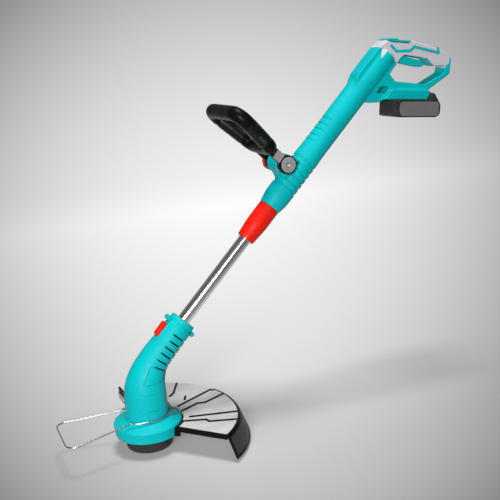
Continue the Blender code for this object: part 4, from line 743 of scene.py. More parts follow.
def piece(target: bpy.types.Object, body: str, finish: Finish, replaces: Iterable[str] = (),
          slot: str = "", sharp: float = 32.0, weigh: bool = True) -> bpy.types.Object:
    """Dress a finished shape and hang it on its body.

    Args:
        target: The shape.
        body: The body that it rides on.
        finish: Its finish.
        replaces: Nodes of the frame that it stands for.
        slot: The record's slot, if it isn't the finish's own name; not used.
        sharp: Angle in degrees above which an edge stays sharp.
        weigh: Whether large faces keep their own direction.

    Returns:
        The same object.
    """
    target.data.materials.clear()
    target.data.materials.append(finish.made())
    for face in target.data.polygons:
        face.material_index = 0
    target.data.shade_smooth()
    target.data.set_sharp_from_angle(angle=math.radians(sharp))
    if weigh:
        weighed = target.modifiers.new("weighed", "WEIGHTED_NORMAL")
        weighed.keep_sharp = True
        apply_modifiers(target)
    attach(target, body)
    slot or finish.name
    names = list(replaces)
    if names:
        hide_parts(*names)
    LOG.info("%s on %s: %d faces", target.name, body, len(target.data.polygons))
    return target


def joined(target: bpy.types.Object, *others: bpy.types.Object) -> bpy.types.Object:
    """Gather separate closed shapes into one object.

    Args:
        target: The object that takes them.
        *others: The objects that are used up.

    Returns:
        The same object.
    """
    bm = bmesh.new()
    bm.from_mesh(target.data)
    for other in others:
        bm.from_mesh(other.data)
        bpy.data.objects.remove(other)
    bm.to_mesh(target.data)
    bm.free()
    return target


def along_y(frame: Matrix, x: float, z: float) -> Matrix:
    """A frame at (x, z) of another, with its Z axis along +Y."""
    return frame @ Matrix.Translation((x, 0.0, z)) @ ALONG_Y


def arc(radius: float, start: float, end: float, count: int, x: float = 0.0, z: float = 0.0) -> list[Point]:
    """Points of an arc, both ends included."""
    turns = [start + (end - start) * step / (count - 1) for step in range(count)]
    return [(x + radius * math.cos(turn), z + radius * math.sin(turn)) for turn in turns]


def spot(radius: float, turn: float) -> Vector:
    """The flat point at a radius from the spool's axis and a turn from +X."""
    return Vector((radius * math.cos(turn), radius * math.sin(turn)))


def eased(share: float) -> float:
    """A share from 0 to 1 with soft ends."""
    return share * share * (3 - 2 * share)


def between(stops: Sequence[Point], place: float) -> float:
    """The value at a place between (place, value) stops.

    Args:
        stops: The stops in rising order.
        place: Where to look.

    Returns:
        The value.
    """
    if place <= stops[0][0]:
        return stops[0][1]
    for (a, low), (b, high) in zip(stops, stops[1:]):
        if place <= b:
            return low + (high - low) * (place - a) / (b - a)
    return stops[-1][1]


@dataclass
class Screw:
    """A pan-head screw with a cross recess."""

    radius: float = 0.0014
    head_radius: float = 0.0026
    head_height: float = 0.0018
    recess_depth: float = 0.0011
    recess_length: float = 0.0014
    recess_half: float = 0.0003
    tip: float = 0.001

    def build(self, node: str, frame: Matrix, length: float, body: str) -> None:
        """Build one screw that stands for a node.

        Args:
            node: The node that it replaces.
            frame: Its seat; the shank runs to -Z.
            length: The shank's length.
            body: The body that it rides on.
        """
        shank = turned(f"{node}_steel", (
            (0.0, -length), (self.radius * 0.6, -length), (self.radius, -length + self.tip),
            (self.radius, 0.0), (self.head_radius, 0.0), (self.head_radius, self.head_height * 0.5, 0.0002),
            (self.head_radius * 0.65, self.head_height, 0.0003), (0.0, self.head_height),
        ), frame, steps=32)
        low = self.head_height - self.recess_depth
        for turn in (0.0, math.pi / 2):
            arm = block("recess", (-self.recess_length, -self.recess_half, low),
                        (self.recess_length, self.recess_half, self.head_height + self.tip),
                        frame @ Matrix.Rotation(turn, 4, "Z"))
            carve(shank, Operation.CUT, arm)
        piece(shank, body, STEEL, [node])


@dataclass
class MotorHead:
    """The motor housing and neck, with the deck under it and the release button."""

    crossing_z: float = CROSSING_Z
    foot_z: float = 0.0633
    foot_radius: float = 0.0408
    waist_radius: float = 0.0400
    neck_radius: float = 0.0272
    neck_end: float = 0.125
    tube_radius: float = TUBE_RADIUS
    sleeve_radius: float = 0.0173
    bend_tangent: float = 0.045
    bend_steps: int = 10
    neck_swell: float = 0.0015
    foot_stops: tuple[Point, ...] = ((0.0, 0.0006), (0.08, -0.0001))
    neck_stops: tuple[Point, ...] = (
        (0.067, 0.0004), (0.104, -0.0004), (0.1085, -0.0012), (0.1130, -0.0027), (0.1145, -0.0028),
        (0.1158, -0.0021), (0.1170, -0.0019), (0.1215, -0.0021), (0.1237, -0.0027), (0.1250, -0.0039),
    )
    core_top: float = 0.120
    core_low: float = 0.010
    hollow_top: float = 0.117
    sides: int = 72
    boss_radius: float = 0.0048
    boss_station: float = 0.1120
    boss_half: float = 0.0085
    boss_seat: float = 0.35
    boss_screw: float = 0.013
    button_station: float = 0.0865
    button_length: float = 0.030
    button_half: float = 0.0085
    button_proud: float = 0.0045
    button_ridges: int = 4
    button_pitch: float = 0.0045
    slot_pitch: float = 0.0135
    slot_width: float = 0.0030
    slot_stations: tuple[float, ...] = (0.0930, 0.0795, 0.0660, 0.0525)
    slot_starts: tuple[float, ...] = (0.0130, 0.0110, 0.0115, 0.0110, 0.0085, 0.0065)
    slot_depth: float = 0.0032
    opening_half: Point = (0.0012, 0.018)
    # A black liner behind the slots, a dark piece that stands for the shade inside the neck.
    shade_liner_span: Point = (0.018, 0.099)
    shade_liner_top: float = 0.110
    shade_liner_wall: float = 0.0008
    panel_outline: tuple[Rounded, ...] = (
        (0.0084, 0.1707, 0.002), (0.0330, 0.1545, 0.003), (0.0400, 0.1345, 0.003), (-0.0118, 0.1345, 0.003),
    )
    panel_depth: float = 0.0010
    border_depth: float = 0.0022
    border_share: float = 0.88
    bands: tuple[tuple[float, float, float], ...] = ((0.1163, 0.0016, 0.0021), (0.0854, 0.0015, 0.0020))
    band_round: float = 0.050
    deck_profile: tuple[tuple[float, ...], ...] = (
        (0.0601, 0.0320), (0.0626, 0.0320, 0.0006), (0.0650, 0.0513, 0.0010), (0.0640, 0.0542, 0.0012),
        (0.0462, 0.0624, 0.0010), (0.0430, 0.0630), (0.0110, 0.0630, 0.0004), (0.0110, 0.0605),
        (0.0430, 0.0605), (0.0600, 0.0520), (0.0622, 0.0485),
    )
    reach: float = 0.060
    screw: Screw = field(default_factory=Screw)

    @property
    def bend_radius(self) -> float:
        """The radius of the neck's bend."""
        return self.bend_tangent / math.tan(SHAFT_TILT / 2)

    @property
    def upright(self) -> float:
        """The length of the centre line below the bend."""
        return self.crossing_z - self.bend_tangent - self.foot_z

    def distance(self, station: float) -> float:
        """How far up the centre line a station of the shaft lies."""
        return self.upright + self.bend_radius * SHAFT_TILT + station - self.bend_tangent

    def line_point(self, distance: float) -> tuple[Vector, float]:
        """The centre line at a distance above the foot.

        Args:
            distance: Metres along the centre line.

        Returns:
            The point and the line's tilt.
        """
        if distance <= self.upright:
            return Vector((0, 0, self.foot_z + distance)), 0.0
        radius = self.bend_radius
        bend = radius * SHAFT_TILT
        if distance <= self.upright + bend:
            turn = (distance - self.upright) / radius
            height = self.foot_z + self.upright + radius * math.sin(turn)
            return Vector((radius * (1 - math.cos(turn)), 0, height)), turn
        station = self.bend_tangent + distance - self.upright - bend
        return SHAFT @ Vector((0, 0, station)), SHAFT_TILT

    def stops(self) -> list[Point]:
        """The housing's radius at places up the centre line."""
        bend = self.bend_radius * SHAFT_TILT
        rise = self.neck_radius + self.neck_swell - self.waist_radius
        stops = [(self.upright * share, self.foot_radius + more) for share, more in self.foot_stops]
        for step in range(self.bend_steps + 1):
            share = step / self.bend_steps
            stops.append((self.upright + bend * share, self.waist_radius + rise * eased(share)))
        neck = [(self.distance(station), self.neck_radius + more) for station, more in self.neck_stops]
        return stops + neck

    def frames(self, shrink: float, top: float, low: float = 0.0, count: int = 60) -> list[Matrix]:
        """Frames up the centre line, scaled to the housing's radius.

        Args:
            shrink: How far the skin stands inside the outer one.
            top: Station of the last frame on the shaft.
            low: How far the first frame stands below the foot.
            count: Number of frames.

        Returns:
            The frames.
        """
        stops = self.stops()
        end = self.distance(top)
        places = {end * step / (count - 1) for step in range(count)}
        places |= {place for place, _ in stops if place < end}
        made = []
        if low > 0:
            foot = Matrix.Translation((0, 0, self.foot_z - low))
            made.append(foot @ Matrix.Scale(self.foot_radius - shrink, 4))
        for place in sorted(places):
            point, tilt = self.line_point(place)
            radius = between(stops, place) - shrink
            made.append(Matrix.Translation(point) @ Matrix.Rotation(tilt, 4, "Y") @ Matrix.Scale(radius, 4))
        return made

    def core(self, depth: float) -> bpy.types.Object:
        """The housing's form, shrunk by the depth to which a cutter may reach."""
        return swept("core", self.frames(depth, self.core_top, low=self.core_low), self.sides)

    def slot_frame(self, index: int) -> Matrix:
        """The frame of one slot, with X along the neck and Z towards its front.

        Args:
            index: The slot's number from the top.

        Returns:
            The frame.
        """
        if index < len(self.slot_stations):
            return SIDE @ Matrix.Translation((self.slot_stations[index], 0, 0))
        below = self.slot_pitch * (index - len(self.slot_stations) + 1)
        point, tilt = self.line_point(self.distance(self.slot_stations[-1]) - below)
        return Matrix.Translation(point) @ Matrix.Rotation(tilt - math.pi / 2, 4, "Y")

    def slots(self) -> bpy.types.Object:
        """The cutters for the row of slots round the back of the neck, in one object."""
        half = self.slot_width / 2
        cutters = []
        for index, first in enumerate(self.slot_starts):
            outline = ((-half, -self.reach), (half, -self.reach), (half, first - 0.004), (0.0, first),
                       (-half * 0.4, first - 0.002), (-half, first - 0.008))
            cutters.append(prism("slot", outline, -self.reach, self.reach, self.slot_frame(index)))
        return carve(joined(*cutters), Operation.CUT, self.core(self.slot_depth))

    def panels(self) -> bpy.types.Object:
        """The cutters for the sunk panels and the bands on both sides, in one object."""
        panel = prism("panel", self.panel_outline, -self.reach, self.reach)
        border = twin(panel, "border")
        middle_x = sum(point[0] for point in self.panel_outline) / len(self.panel_outline)
        middle_z = sum(point[1] for point in self.panel_outline) / len(self.panel_outline)
        share = self.border_share
        inset = [(middle_x + (x - middle_x) * share, middle_z + (z - middle_z) * share, r)
                 for x, z, r in self.panel_outline]
        carve(border, Operation.CUT, prism("inset", inset, -2 * self.reach, 2 * self.reach))
        carve(panel, Operation.CUT, self.core(self.panel_depth))
        carve(border, Operation.CUT, self.core(self.border_depth))
        carve(panel, Operation.JOIN, border)
        for height, minor, depth in self.bands:
            for hand in Hand:
                centre = hand.value * (self.waist_radius - depth - self.band_round + minor)
                place = Matrix.Translation((0, centre, 0))
                joined(panel, ring("groove", self.band_round, minor, height, place, steps=160))
        return panel

    def boss_frame(self, side: int) -> Matrix:
        """The frame of a screw boss above (1) or below (-1) the shaft, with Z along +Y."""
        return along_y(SIDE, self.boss_station, side * (self.neck_radius + self.boss_radius * self.boss_seat))

    def build_shells(self) -> None:
        """Build the two halves of the housing."""
        form = swept("form", self.frames(0.0, self.neck_end), 96)
        for side in (1, -1):
            tab = rod("tab", self.boss_radius, -self.boss_half, self.boss_half, self.boss_frame(side), 0.0008)
            carve(form, Operation.JOIN, tab)
        hollow = swept("hollow", self.frames(WALL, self.hollow_top, low=WALL), self.sides)
        carve(form, Operation.CUT, self.slots(), self.panels(), hollow)
        along, aside = self.opening_half
        for index in range(len(self.slot_stations), len(self.slot_starts)):
            frame = self.slot_frame(index)
            opening = block("opening", (-along, -aside, -0.05), (along, aside, -0.015), frame)
            carve(form, Operation.CUT, opening)
        end = self.neck_end
        bore = rod("bore", self.tube_radius + RUN, end - 0.02, end + 0.01, SHAFT, steps=96)
        seat = rod("seat", self.sleeve_radius + RUN, 0.1, end - 0.003 + GAP, SHAFT, steps=96)
        half = self.button_length / 2 + RUN / 2
        aside = self.button_half + RUN / 2
        well = block("well", (self.button_station - half, -aside, self.sleeve_radius + 0.004),
                     (self.button_station + half, aside, self.neck_radius + 0.02), SIDE)
        carve(form, Operation.CUT, bore, seat, well)
        for hand in Hand:
            shell = halved(form, hand, f"motor_housing_{hand.word}")
            piece(shell, "head", TEAL, [f"head_shell_{hand.word}"], sharp=28.0)
        bpy.data.objects.remove(form)

    def build_shade_liner(self) -> None:
        """Build the black liner behind the neck's slots, a dark piece that stands for the shade inside them.
        """
        low, high = self.shade_liner_span
        shrink = WALL + GAP
        liner = swept("slot_shade_liner", self.frames(shrink, self.shade_liner_top), self.sides)
        core = self.frames(shrink + self.shade_liner_wall, self.shade_liner_top + 0.005, low=WALL)
        carve(liner, Operation.CUT, swept("core", core, self.sides))
        reach = 2 * self.waist_radius
        span = block("span", (low, -reach, -reach), (high, reach, self.slot_starts[0] + 0.002), SIDE)
        carve(liner, Operation.KEEP, span)
        piece(liner, "head", BLACK)

    def build_deck(self) -> None:
        """Build the round deck with its skirt."""
        deck = turned("motor_deck", self.deck_profile, steps=144, segments=4)
        carve(deck, Operation.CUT, ring("seam", 0.0633, 0.0006, 0.0350, steps=144))
        piece(deck, "head", TEAL, ["deck_skirt"])

    def build_button(self) -> None:
        """Build the release button with its finger ridges."""
        low = self.button_station - self.button_length / 2
        high = self.button_station + self.button_length / 2
        top = self.neck_radius + self.button_proud
        floor = self.sleeve_radius + 0.0035 + 0.002 + RUN
        outline = ((low, floor), (high, floor), (high, top - 0.0012, 0.0012), (high - 0.004, top, 0.002),
                   (low + 0.002, top - 0.001, 0.001), (low, top - 0.003, 0.001))
        button = prism("release_button", outline, -self.button_half, self.button_half, SIDE, 0.0014, 4)
        for index in range(self.button_ridges):
            station = low + (index + 2) * self.button_pitch
            bar = rod("ridge", 0.0009, -0.0055, 0.0055, along_y(SIDE, station, top + 0.0002), 0.0003, 20)
            carve(button, Operation.CUT, bar)
        piece(button, "release", RED, ["head_release_button"])

    def build(self) -> None:
        """Build the whole head."""
        self.build_shells()
        self.build_shade_liner()
        self.build_deck()
        self.build_button()
        for index, side in ((1, 1), (2, -1)):
            seat = self.boss_frame(side) @ Matrix.Translation((0, 0, self.boss_half + GAP))
            self.screw.build(f"head_screw_{index}", seat, self.boss_screw, "head")


def wired(name: str, points: Sequence[tuple[float, float, float]], radius: float,
          rounds: int) -> bpy.types.Object:
    """Make a round wire along a line of points.

    Args:
        name: Name of the new object.
        points: The points of the wire's middle line.
        radius: Radius of the wire.
        rounds: Steps in a quarter of its section.

    Returns:
        The wire as a mesh object.
    """
    curve = bpy.data.curves.new(name, "CURVE")
    curve.dimensions = "3D"
    curve.bevel_depth = radius
    curve.bevel_resolution = rounds
    curve.use_fill_caps = True
    spline = curve.splines.new("POLY")
    spline.points.add(len(points) - 1)
    for place, point in zip(spline.points, points):
        place.co = (*point, 1.0)
    drawn = bpy.data.objects.new(name, curve)
    bpy.context.scene.collection.objects.link(drawn)
    bpy.context.view_layer.update()
    mesh = bpy.data.meshes.new_from_object(drawn.evaluated_get(bpy.context.evaluated_depsgraph_get()))
    bpy.data.objects.remove(drawn)
    wire = bpy.data.objects.new(name, mesh)
    bpy.context.scene.collection.objects.link(wire)
    return wire


@dataclass
class LineSpool:
    """The spool under the deck: hub, cover, eyelets and bump button."""

    radius: float = 0.0443
    wall: float = 0.0022
    bump_radius: float = 0.0255
    standoff: float = 0.003
    cover_top: float = 0.024
    hub_top: float = 0.0448
    boss: tuple[float, ...] = (0.0033, 0.0080, 0.0386, 0.0498)
    eye_height: float = 0.0085
    eye_radius: float = 0.0031
    windows: int = 6
    window_half: float = 0.0070
    panel_half: float = 0.0090
    ribs: int = 24
    flute_radius: float = 0.0017
    reel_gap: float = 0.0035
    spring_radius: float = 0.0110
    spring_wire: float = 0.0006
    spring_turns: int = 4
    press: float = 0.0040

    @property
    def reel_low(self) -> float:
        """The underside of the reel."""
        return self.standoff + WALL + self.reel_gap

    def eye_frame(self, turn: float) -> Matrix:
        """The frame of an eyelet, with Z out of the hub's side, at a turn about the axis."""
        place = Matrix.Translation((self.radius, 0, self.cover_top + GAP + self.eye_height))
        return Matrix.Rotation(turn, 4, "Z") @ place @ Matrix.Rotation(math.pi / 2, 4, "Y")

    def build_hub(self) -> None:
        """Build the hub that the motor drives."""
        low = self.cover_top + GAP
        inside = self.radius - self.wall
        bore, boss, boss_low, boss_top = self.boss
        under = self.hub_top - self.wall
        hub = turned("spool_housing", (
            (bore, boss_low), (boss, boss_low), (boss, under), (inside, under), (inside, low),
            (self.radius, low, 0.0003), (self.radius, self.hub_top - 0.002, 0.001),
            (self.radius - 0.002, self.hub_top, 0.001), (boss, self.hub_top),
            (boss, boss_top), (bore, boss_top),
        ), steps=120)
        for turn in (0.0, math.pi):
            carve(hub, Operation.CUT, rod("eye", self.eye_radius, -0.005, 0.01, self.eye_frame(turn)))
        for index in range(self.windows):
            turn = Matrix.Rotation(FULL_TURN * (index + 0.5) / self.windows, 4, "Z")
            carve(hub, Operation.CUT, block("panel", (self.radius - 0.0008, -self.panel_half, low + 0.002),
                                            (self.radius + 0.003, self.panel_half, low + 0.012), turn))
        piece(hub, "spool", GREY, ["spool_hub"])

    def build_cover(self) -> None:
        """Build the clip-on cover with its windows and grip ribs."""
        bore = self.bump_radius + RUN
        floor = self.standoff + WALL
        cover = turned("spool_lid", (
            (bore, self.standoff, 0.0006), (self.radius - 0.003, self.standoff, 0.0015),
            (self.radius, self.standoff + 0.003, 0.0015), (self.radius, self.cover_top, 0.0003),
            (self.radius - self.wall, self.cover_top), (self.radius - self.wall, floor), (bore, floor),
        ), steps=120)
        top = self.cover_top
        for index in range(self.windows):
            turn = Matrix.Rotation(FULL_TURN * index / self.windows, 4, "Z")
            low = (self.radius - 0.0014, -self.window_half, top - 0.0095)
            high = (self.radius + 0.002, self.window_half, top - 0.006)
            carve(cover, Operation.CUT, block("window", low, high, turn))
        for index in range(self.ribs):
            turn = Matrix.Rotation(FULL_TURN * (index + 0.5) / self.ribs, 4, "Z")
            frame = turn @ Matrix.Translation((self.radius + 0.0011, 0, 0))
            flute = rod("flute", self.flute_radius, 0.0055, top - 0.0015, frame, steps=16)
            carve(cover, Operation.CUT, flute)
        piece(cover, "spool", GREY, ["spool_cover"])

    def build_button(self) -> None:
        """Build the bump button with its worn, dished foot."""
        low = self.reel_low
        button = turned("bump_foot", (
            (0.0, 0.0), (self.bump_radius - 0.006, 0.0, 0.001), (self.bump_radius, 0.003, 0.0015),
            (self.bump_radius, low - GAP), (0.006, low - GAP), (0.006, low + 0.0045), (0.0, low + 0.0045),
        ), steps=96)
        for radius in (0.010, 0.016):
            carve(button, Operation.CUT, ring("wear", radius, 0.0006, 0.0, steps=96))
        piece(button, "bump", GREY, ["bump_button"])

    def build_spring(self) -> None:
        """Build the return spring, which rides with the bump button."""
        low = self.reel_low + WALL + 2 * self.spring_wire
        length = self.hub_top - self.wall - 2 * self.spring_wire - low
        steps = 24 * self.spring_turns
        points = []
        for share in (step / steps for step in range(steps + 1)):
            place = spot(self.spring_radius, FULL_TURN * self.spring_turns * share)
            points.append((*place, low + length * share))
        spring = piece(wired("return_spring", points, self.spring_wire, 2), "bump", STEEL, ["spool_spring"])
        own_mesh(spring)

    def build_eyelets(self) -> None:
        """Build the steel eyelets that the line leaves through."""
        for index, turn in ((1, 0.0), (2, math.pi)):
            eyelet = turned(f"eyelet_{index}", (
                (0.0016, -self.wall, 0.0004), (0.0028, -self.wall), (0.0028, GAP), (0.0040, GAP),
                (0.0036, 0.0014, 0.0004), (0.0016, 0.0014, 0.0006),
            ), self.eye_frame(turn), steps=48)
            piece(eyelet, "spool", STEEL, [f"line_eyelet_{index}"])

    def build(self) -> None:
        """Build the whole spool."""
        self.build_hub()
        self.build_cover()
        self.build_button()
        self.build_spring()
        self.build_eyelets()


@dataclass
class DebrisGuard:
    """The smoky sheet, its black ribs, frame and lip, and the line cutter."""

    start: float = math.radians(-52.0)
    end: float = math.radians(93.0)
    near_turn: float = math.radians(-57.5)
    lip_end: float = math.radians(22.0)
    top: float = 0.052
    thickness: float = 0.0024
    radius: float = 0.172
    inner: float = 0.0682
    lip_radius: float = 0.178
    foot_radius: float = 0.194
    foot_z: float = 0.0075
    wall: float = 0.0026
    bar: float = 0.0036
    bar_height: float = 0.0100
    band_low: float = 0.032
    band_height: float = 0.017
    band_slope: float = 0.0024 / 0.0175
    band_radius: float = 0.0653
    rib_width: float = 0.0042
    rib_height: float = 0.0018
    rib_paths: tuple[tuple[Point, ...], ...] = (
        ((0.074, -0.032), (0.160, -0.0575)),
        ((0.0400, -0.0590), (0.0565, -0.0430), (0.096, -0.059), (0.100, -0.070), (0.148, -0.0885)),
        ((0.069, 0.024), (0.152, 0.064), (0.157, 0.059)),
        ((0.069, 0.000), (0.107, 0.017), (0.121, 0.012), (0.168, 0.0315)),
        ((0.070, 0.078), (0.081, 0.088), (0.103, 0.132)),
        ((0.091, 0.047), (0.097, 0.060)),
        ((0.020, 0.080), (0.032, 0.160)),
    )
    blade_radius: float = 0.137
    blade_length: float = 0.046
    blade_height: float = 0.015
    blade_thickness: float = 0.0012
    blade_drop: float = 0.001
    hole_radius: float = 0.0017
    screw_turns: tuple[float, float] = (math.radians(-40.0), math.radians(70.0))
    screw_share: float = 0.45
    screw_length: float = 0.0051
    screw: Screw = field(default_factory=Screw)

    def rib(self, path: Sequence[Point]) -> bpy.types.Object:
        """One rib that follows a path seen from above.

        Args:
            path: The path's points.

        Returns:
            The rib.
        """
        half = self.rib_width / 2
        bars = []
        for (ax, ay), (bx, by) in zip(path, path[1:]):
            turn = math.atan2(by - ay, bx - ax)
            frame = Matrix.Translation((ax, ay, self.top)) @ Matrix.Rotation(turn, 4, "Z")
            high = (math.hypot(bx - ax, by - ay) + half, half, self.rib_height)
            bars.append(block("rib", (-half, -half, -0.0004), high, frame, 0.0006))
        return carve(bars[0], Operation.JOIN, *bars[1:])

    def build_sheet(self) -> None:
        """Build the sheet with its raised black ribs."""
        low = self.top - self.thickness
        last = self.end - (self.bar + GAP) / self.inner
        sheet = turned("guard_sheet", (
            (self.inner, low), (self.radius, low, 0.0004), (self.radius, self.top, 0.0006),
            (self.inner, self.top, 0.0004),
        ), steps=120, start=self.near_turn, sweep=last - self.near_turn)
        frame, length = self.bar_line(*self.near_bar)
        margin = 0.02
        end = (length + margin, self.bar / 2 + GAP, margin)
        carve(sheet, Operation.CUT, block("strip", (-margin, -3 * margin, -margin), end, frame))
        piece(sheet, "head", SMOKE, ["guard_plate"])
        ribs = joined(*(self.rib(path) for path in self.rib_paths))
        inner, low, high = self.inner - 0.001, self.top - 0.01, self.top + 0.01
        outline = ((inner, low), (self.radius, low), (self.radius, high), (inner, high))
        carve(ribs, Operation.KEEP, turned("trim", outline, steps=120))
        piece(ribs, "head", BLACK)

    def lip(self) -> bpy.types.Object:
        """The lip that hangs from the sheet's edge, with its sunk outer panel."""
        low = self.top - self.thickness
        sweep = self.lip_end - self.start
        lip = turned("lip", (
            (self.radius + GAP, low, 0.0006), (self.lip_radius - self.wall, low - 0.002, 0.001),
            (self.foot_radius - self.wall, self.foot_z, 0.0008), (self.foot_radius, self.foot_z, 0.0008),
            (self.lip_radius, low, 0.004), (self.lip_radius - 0.003, self.top, 0.002),
            (self.radius + GAP, self.top),
        ), steps=90, start=self.start, sweep=sweep, segments=4)
        slope = (self.foot_radius - self.lip_radius) / (low - self.foot_z)
        border = 0.0045
        high = low - 0.003
        floor = self.foot_z + border
        edge = border / self.radius
        outer_high = self.lip_radius + (low - high) * slope
        outer_low = self.lip_radius + (low - floor) * slope
        panel = turned("panel", (
            (outer_high - 0.0008, high, 0.001), (outer_low - 0.0008, floor, 0.001),
            (outer_low + 0.003, floor), (outer_high + 0.003, high),
        ), steps=90, start=self.start + edge, sweep=sweep - 2 * edge)
        inlay = turned("lip_panel", (
            (outer_high - 0.0007, high - 0.0005), (outer_low - 0.0007, floor + 0.0005),
            (outer_low - 0.0003, floor + 0.0005), (outer_high - 0.0003, high - 0.0005),
        ), steps=90, start=self.start + edge * 1.15, sweep=sweep - 2.3 * edge)
        piece(inlay, "head", GREY, slot="black_plastic")
        return carve(lip, Operation.CUT, panel)

    @property
    def near_bar(self) -> tuple[Vector, Vector]:
        """The two ends of the near edge's bar, seen from above."""
        root = self.band_radius + self.wall / 2
        return (spot(root, self.near_turn + self.bar / 2 / root),
                spot(self.lip_radius - 0.004, self.start + self.bar / 2 / self.lip_radius))

    @property
    def far_bar(self) -> tuple[Vector, Vector]:
        """The two ends of the far edge's bar, seen from above."""
        root = self.band_radius + self.wall / 2
        return (spot(root, self.end - self.bar / 2 / root),
                spot(self.lip_radius + 0.006, self.end - self.bar / 2 / self.lip_radius))

    def bar_line(self, root: Vector, end: Vector) -> tuple[Matrix, float]:
        """The frame at a bar's root, with X along it on the sheet's top, and its length.

        Args:
            root: Its inner end.
            end: Its outer end.

        Returns:
            The frame and the length.
        """
        along = end - root
        turn = math.atan2(along.y, along.x)
        return Matrix.Translation((root.x, root.y, self.top)) @ Matrix.Rotation(turn, 4, "Z"), along.length

    def edge_bar(self, root: Vector, end: Vector) -> bpy.types.Object:
        """A straight bar along an edge of the sheet.

        Args:
            root: Its inner end.
            end: Its outer end.

        Returns:
            The bar.
        """
        half = self.bar / 2
        frame, length = self.bar_line(root, end)
        return block("bar", (0.0, -half, -self.bar_height), (length, half, 0.0), frame, 0.0009)

    def build_frame(self) -> None:
        """Build the frame: inner band, edge bars, cutter tab and lip in one moulding."""
        high = self.band_low + self.band_height
        foot = self.band_radius - self.band_height * self.band_slope
        frame = turned("guard_rail", (
            (foot, self.band_low, 0.0004), (foot + self.wall, self.band_low, 0.0006),
            (self.band_radius + self.wall, high, 0.0006), (self.band_radius, high, 0.0004),
        ), steps=90, start=self.near_turn, sweep=self.end - self.near_turn)
        far = Matrix.Rotation(self.far_turn, 4, "Z")
        heel = block("heel", (0.0655, -0.0030, 0.0325), (0.0735, 0.0030, self.top - 0.0005),
                     Matrix.Rotation(self.near_turn + 0.055, 4, "Z"), 0.0008)
        bar_low = self.top - self.bar_height
        half = self.bar / 2
        tab_low = bar_low - self.blade_drop - self.blade_height - 0.001
        tab = block("tab", (self.blade_radius, -half, tab_low),
                    (self.blade_radius + self.blade_length - 0.001, half, bar_low + 0.002), far, 0.0006)
        bars = [self.edge_bar(*ends) for ends in (self.near_bar, self.far_bar)]
        carve(frame, Operation.JOIN, self.lip(), *bars, heel, tab, exact=True)
        piece(frame, "head", BLACK, ["guard_frame"])

    @property
    def far_turn(self) -> float:
        """The turn of the far edge's bar."""
        return self.end - self.bar / 2 / self.lip_radius

    def build_cutter(self) -> None:
        """Build the ground blade that trims the line, with its screws."""
        turn = Matrix.Rotation(self.far_turn, 4, "Z")
        top = self.top - self.bar_height - self.blade_drop
        low = top - self.blade_height
        start = self.blade_radius
        end = start + self.blade_length
        face = self.bar / 2 + GAP
        outer = face + self.blade_thickness
        outline = ((start, low + 0.004, 0.001), (end, low, 0.0004), (end + 0.002, top, 0.001),
                   (start, top, 0.001))
        blade = prism("line_blade", outline, face, outer, turn, 0.0002, 2)
        ground = ((start - 0.002, low - 0.004), (end + 0.004, low - 0.008), (end + 0.004, low + 0.0012),
                  (start - 0.002, low + 0.0052))
        grind = prism("grind", ground, face + self.blade_thickness * 0.4, face + 0.01, turn)
        carve(blade, Operation.CUT, grind)
        for index, share in ((1, 0.25), (2, 0.75)):
            axis = along_y(turn, start + self.blade_length * share, top - self.blade_height * 0.45)
            axis = axis @ Matrix.Translation((0, 0, outer + GAP))
            length = self.blade_thickness + self.bar * 0.8
            carve(blade, Operation.CUT, rod("hole", self.hole_radius, -length, 0.002, axis, steps=24))
            self.screw.build(f"blade_screw_{index}", axis, length, "head")
        piece(blade, "head", STEEL, ["cutter_blade"])

    def build(self) -> None:
        """Build the whole guard."""
        self.build_sheet()
        self.build_frame()
        self.build_cutter()
        share = self.screw_share
        fall = self.band_height * (1 - share) * self.band_slope
        radius = self.band_radius - fall + self.wall + GAP + 0.0002
        height = self.band_low + self.band_height * share
        for index, turn in enumerate(self.screw_turns, 1):
            seat = Matrix.Rotation(turn, 4, "Z") @ Matrix.Translation((radius, 0, height))
            seat = seat @ Matrix.Rotation(math.pi / 2, 4, "Y")
            self.screw.build(f"guard_screw_{index}", seat, self.screw_length, "head")


@dataclass
class PlantGuard:
    """The plated wire that keeps the line off plants."""

    radius: float = 0.0015
    height: float = 0.0678
    end_point: tuple[float, float, float] = (0.0504, 0.0191, 0.0605)
    hug: float = 0.0432
    leave: float = math.radians(40.0)
    kink: float = math.radians(142.0)
    flare: float = 0.0100
    steps: int = 30
    half_width: float = 0.056
    reach: float = 0.1647
    corner: float = 0.018
    drop: float = 0.0078
    rise: float = 0.0048
    front_arc: Point = (0.41 * math.pi, 0.94 * math.pi)

    def half_path(self) -> list[tuple[float, float, float]]:
        """The right half of the wire's line, from its end on the deck to the front."""
        x, y, z = self.end_point
        inner = x - self.radius
        half = [(x, y, z), (x - 0.0004, y, z + self.rise), (inner, y, self.height - 0.0006),
                (inner - 0.0012, y + 0.0012, self.height)]
        for step in range(self.steps + 1):
            turn = self.leave + (self.kink - self.leave) * step / self.steps
            off = self.flare * max(0.0, turn - math.pi / 2) / (self.kink - math.pi / 2)
            half.append((*spot(self.hug + off, turn), self.height))
        front = arc(self.corner, *self.front_arc, 16, -self.reach + self.corner,
                    self.half_width - self.corner)
        return half + [(x, y, self.height - self.drop) for x, y in front]

    def build(self) -> None:
        """Build the bent wire."""
        half = self.half_path()
        points = [(x, -y, z) for x, y, z in half] + [(x, y, z) for x, y, z in reversed(half)]
        wire = wired("plant_wire", points, self.radius, 5)
        piece(wire, "wire_guard", CHROME, ["plant_guard_wire"], sharp=60.0)


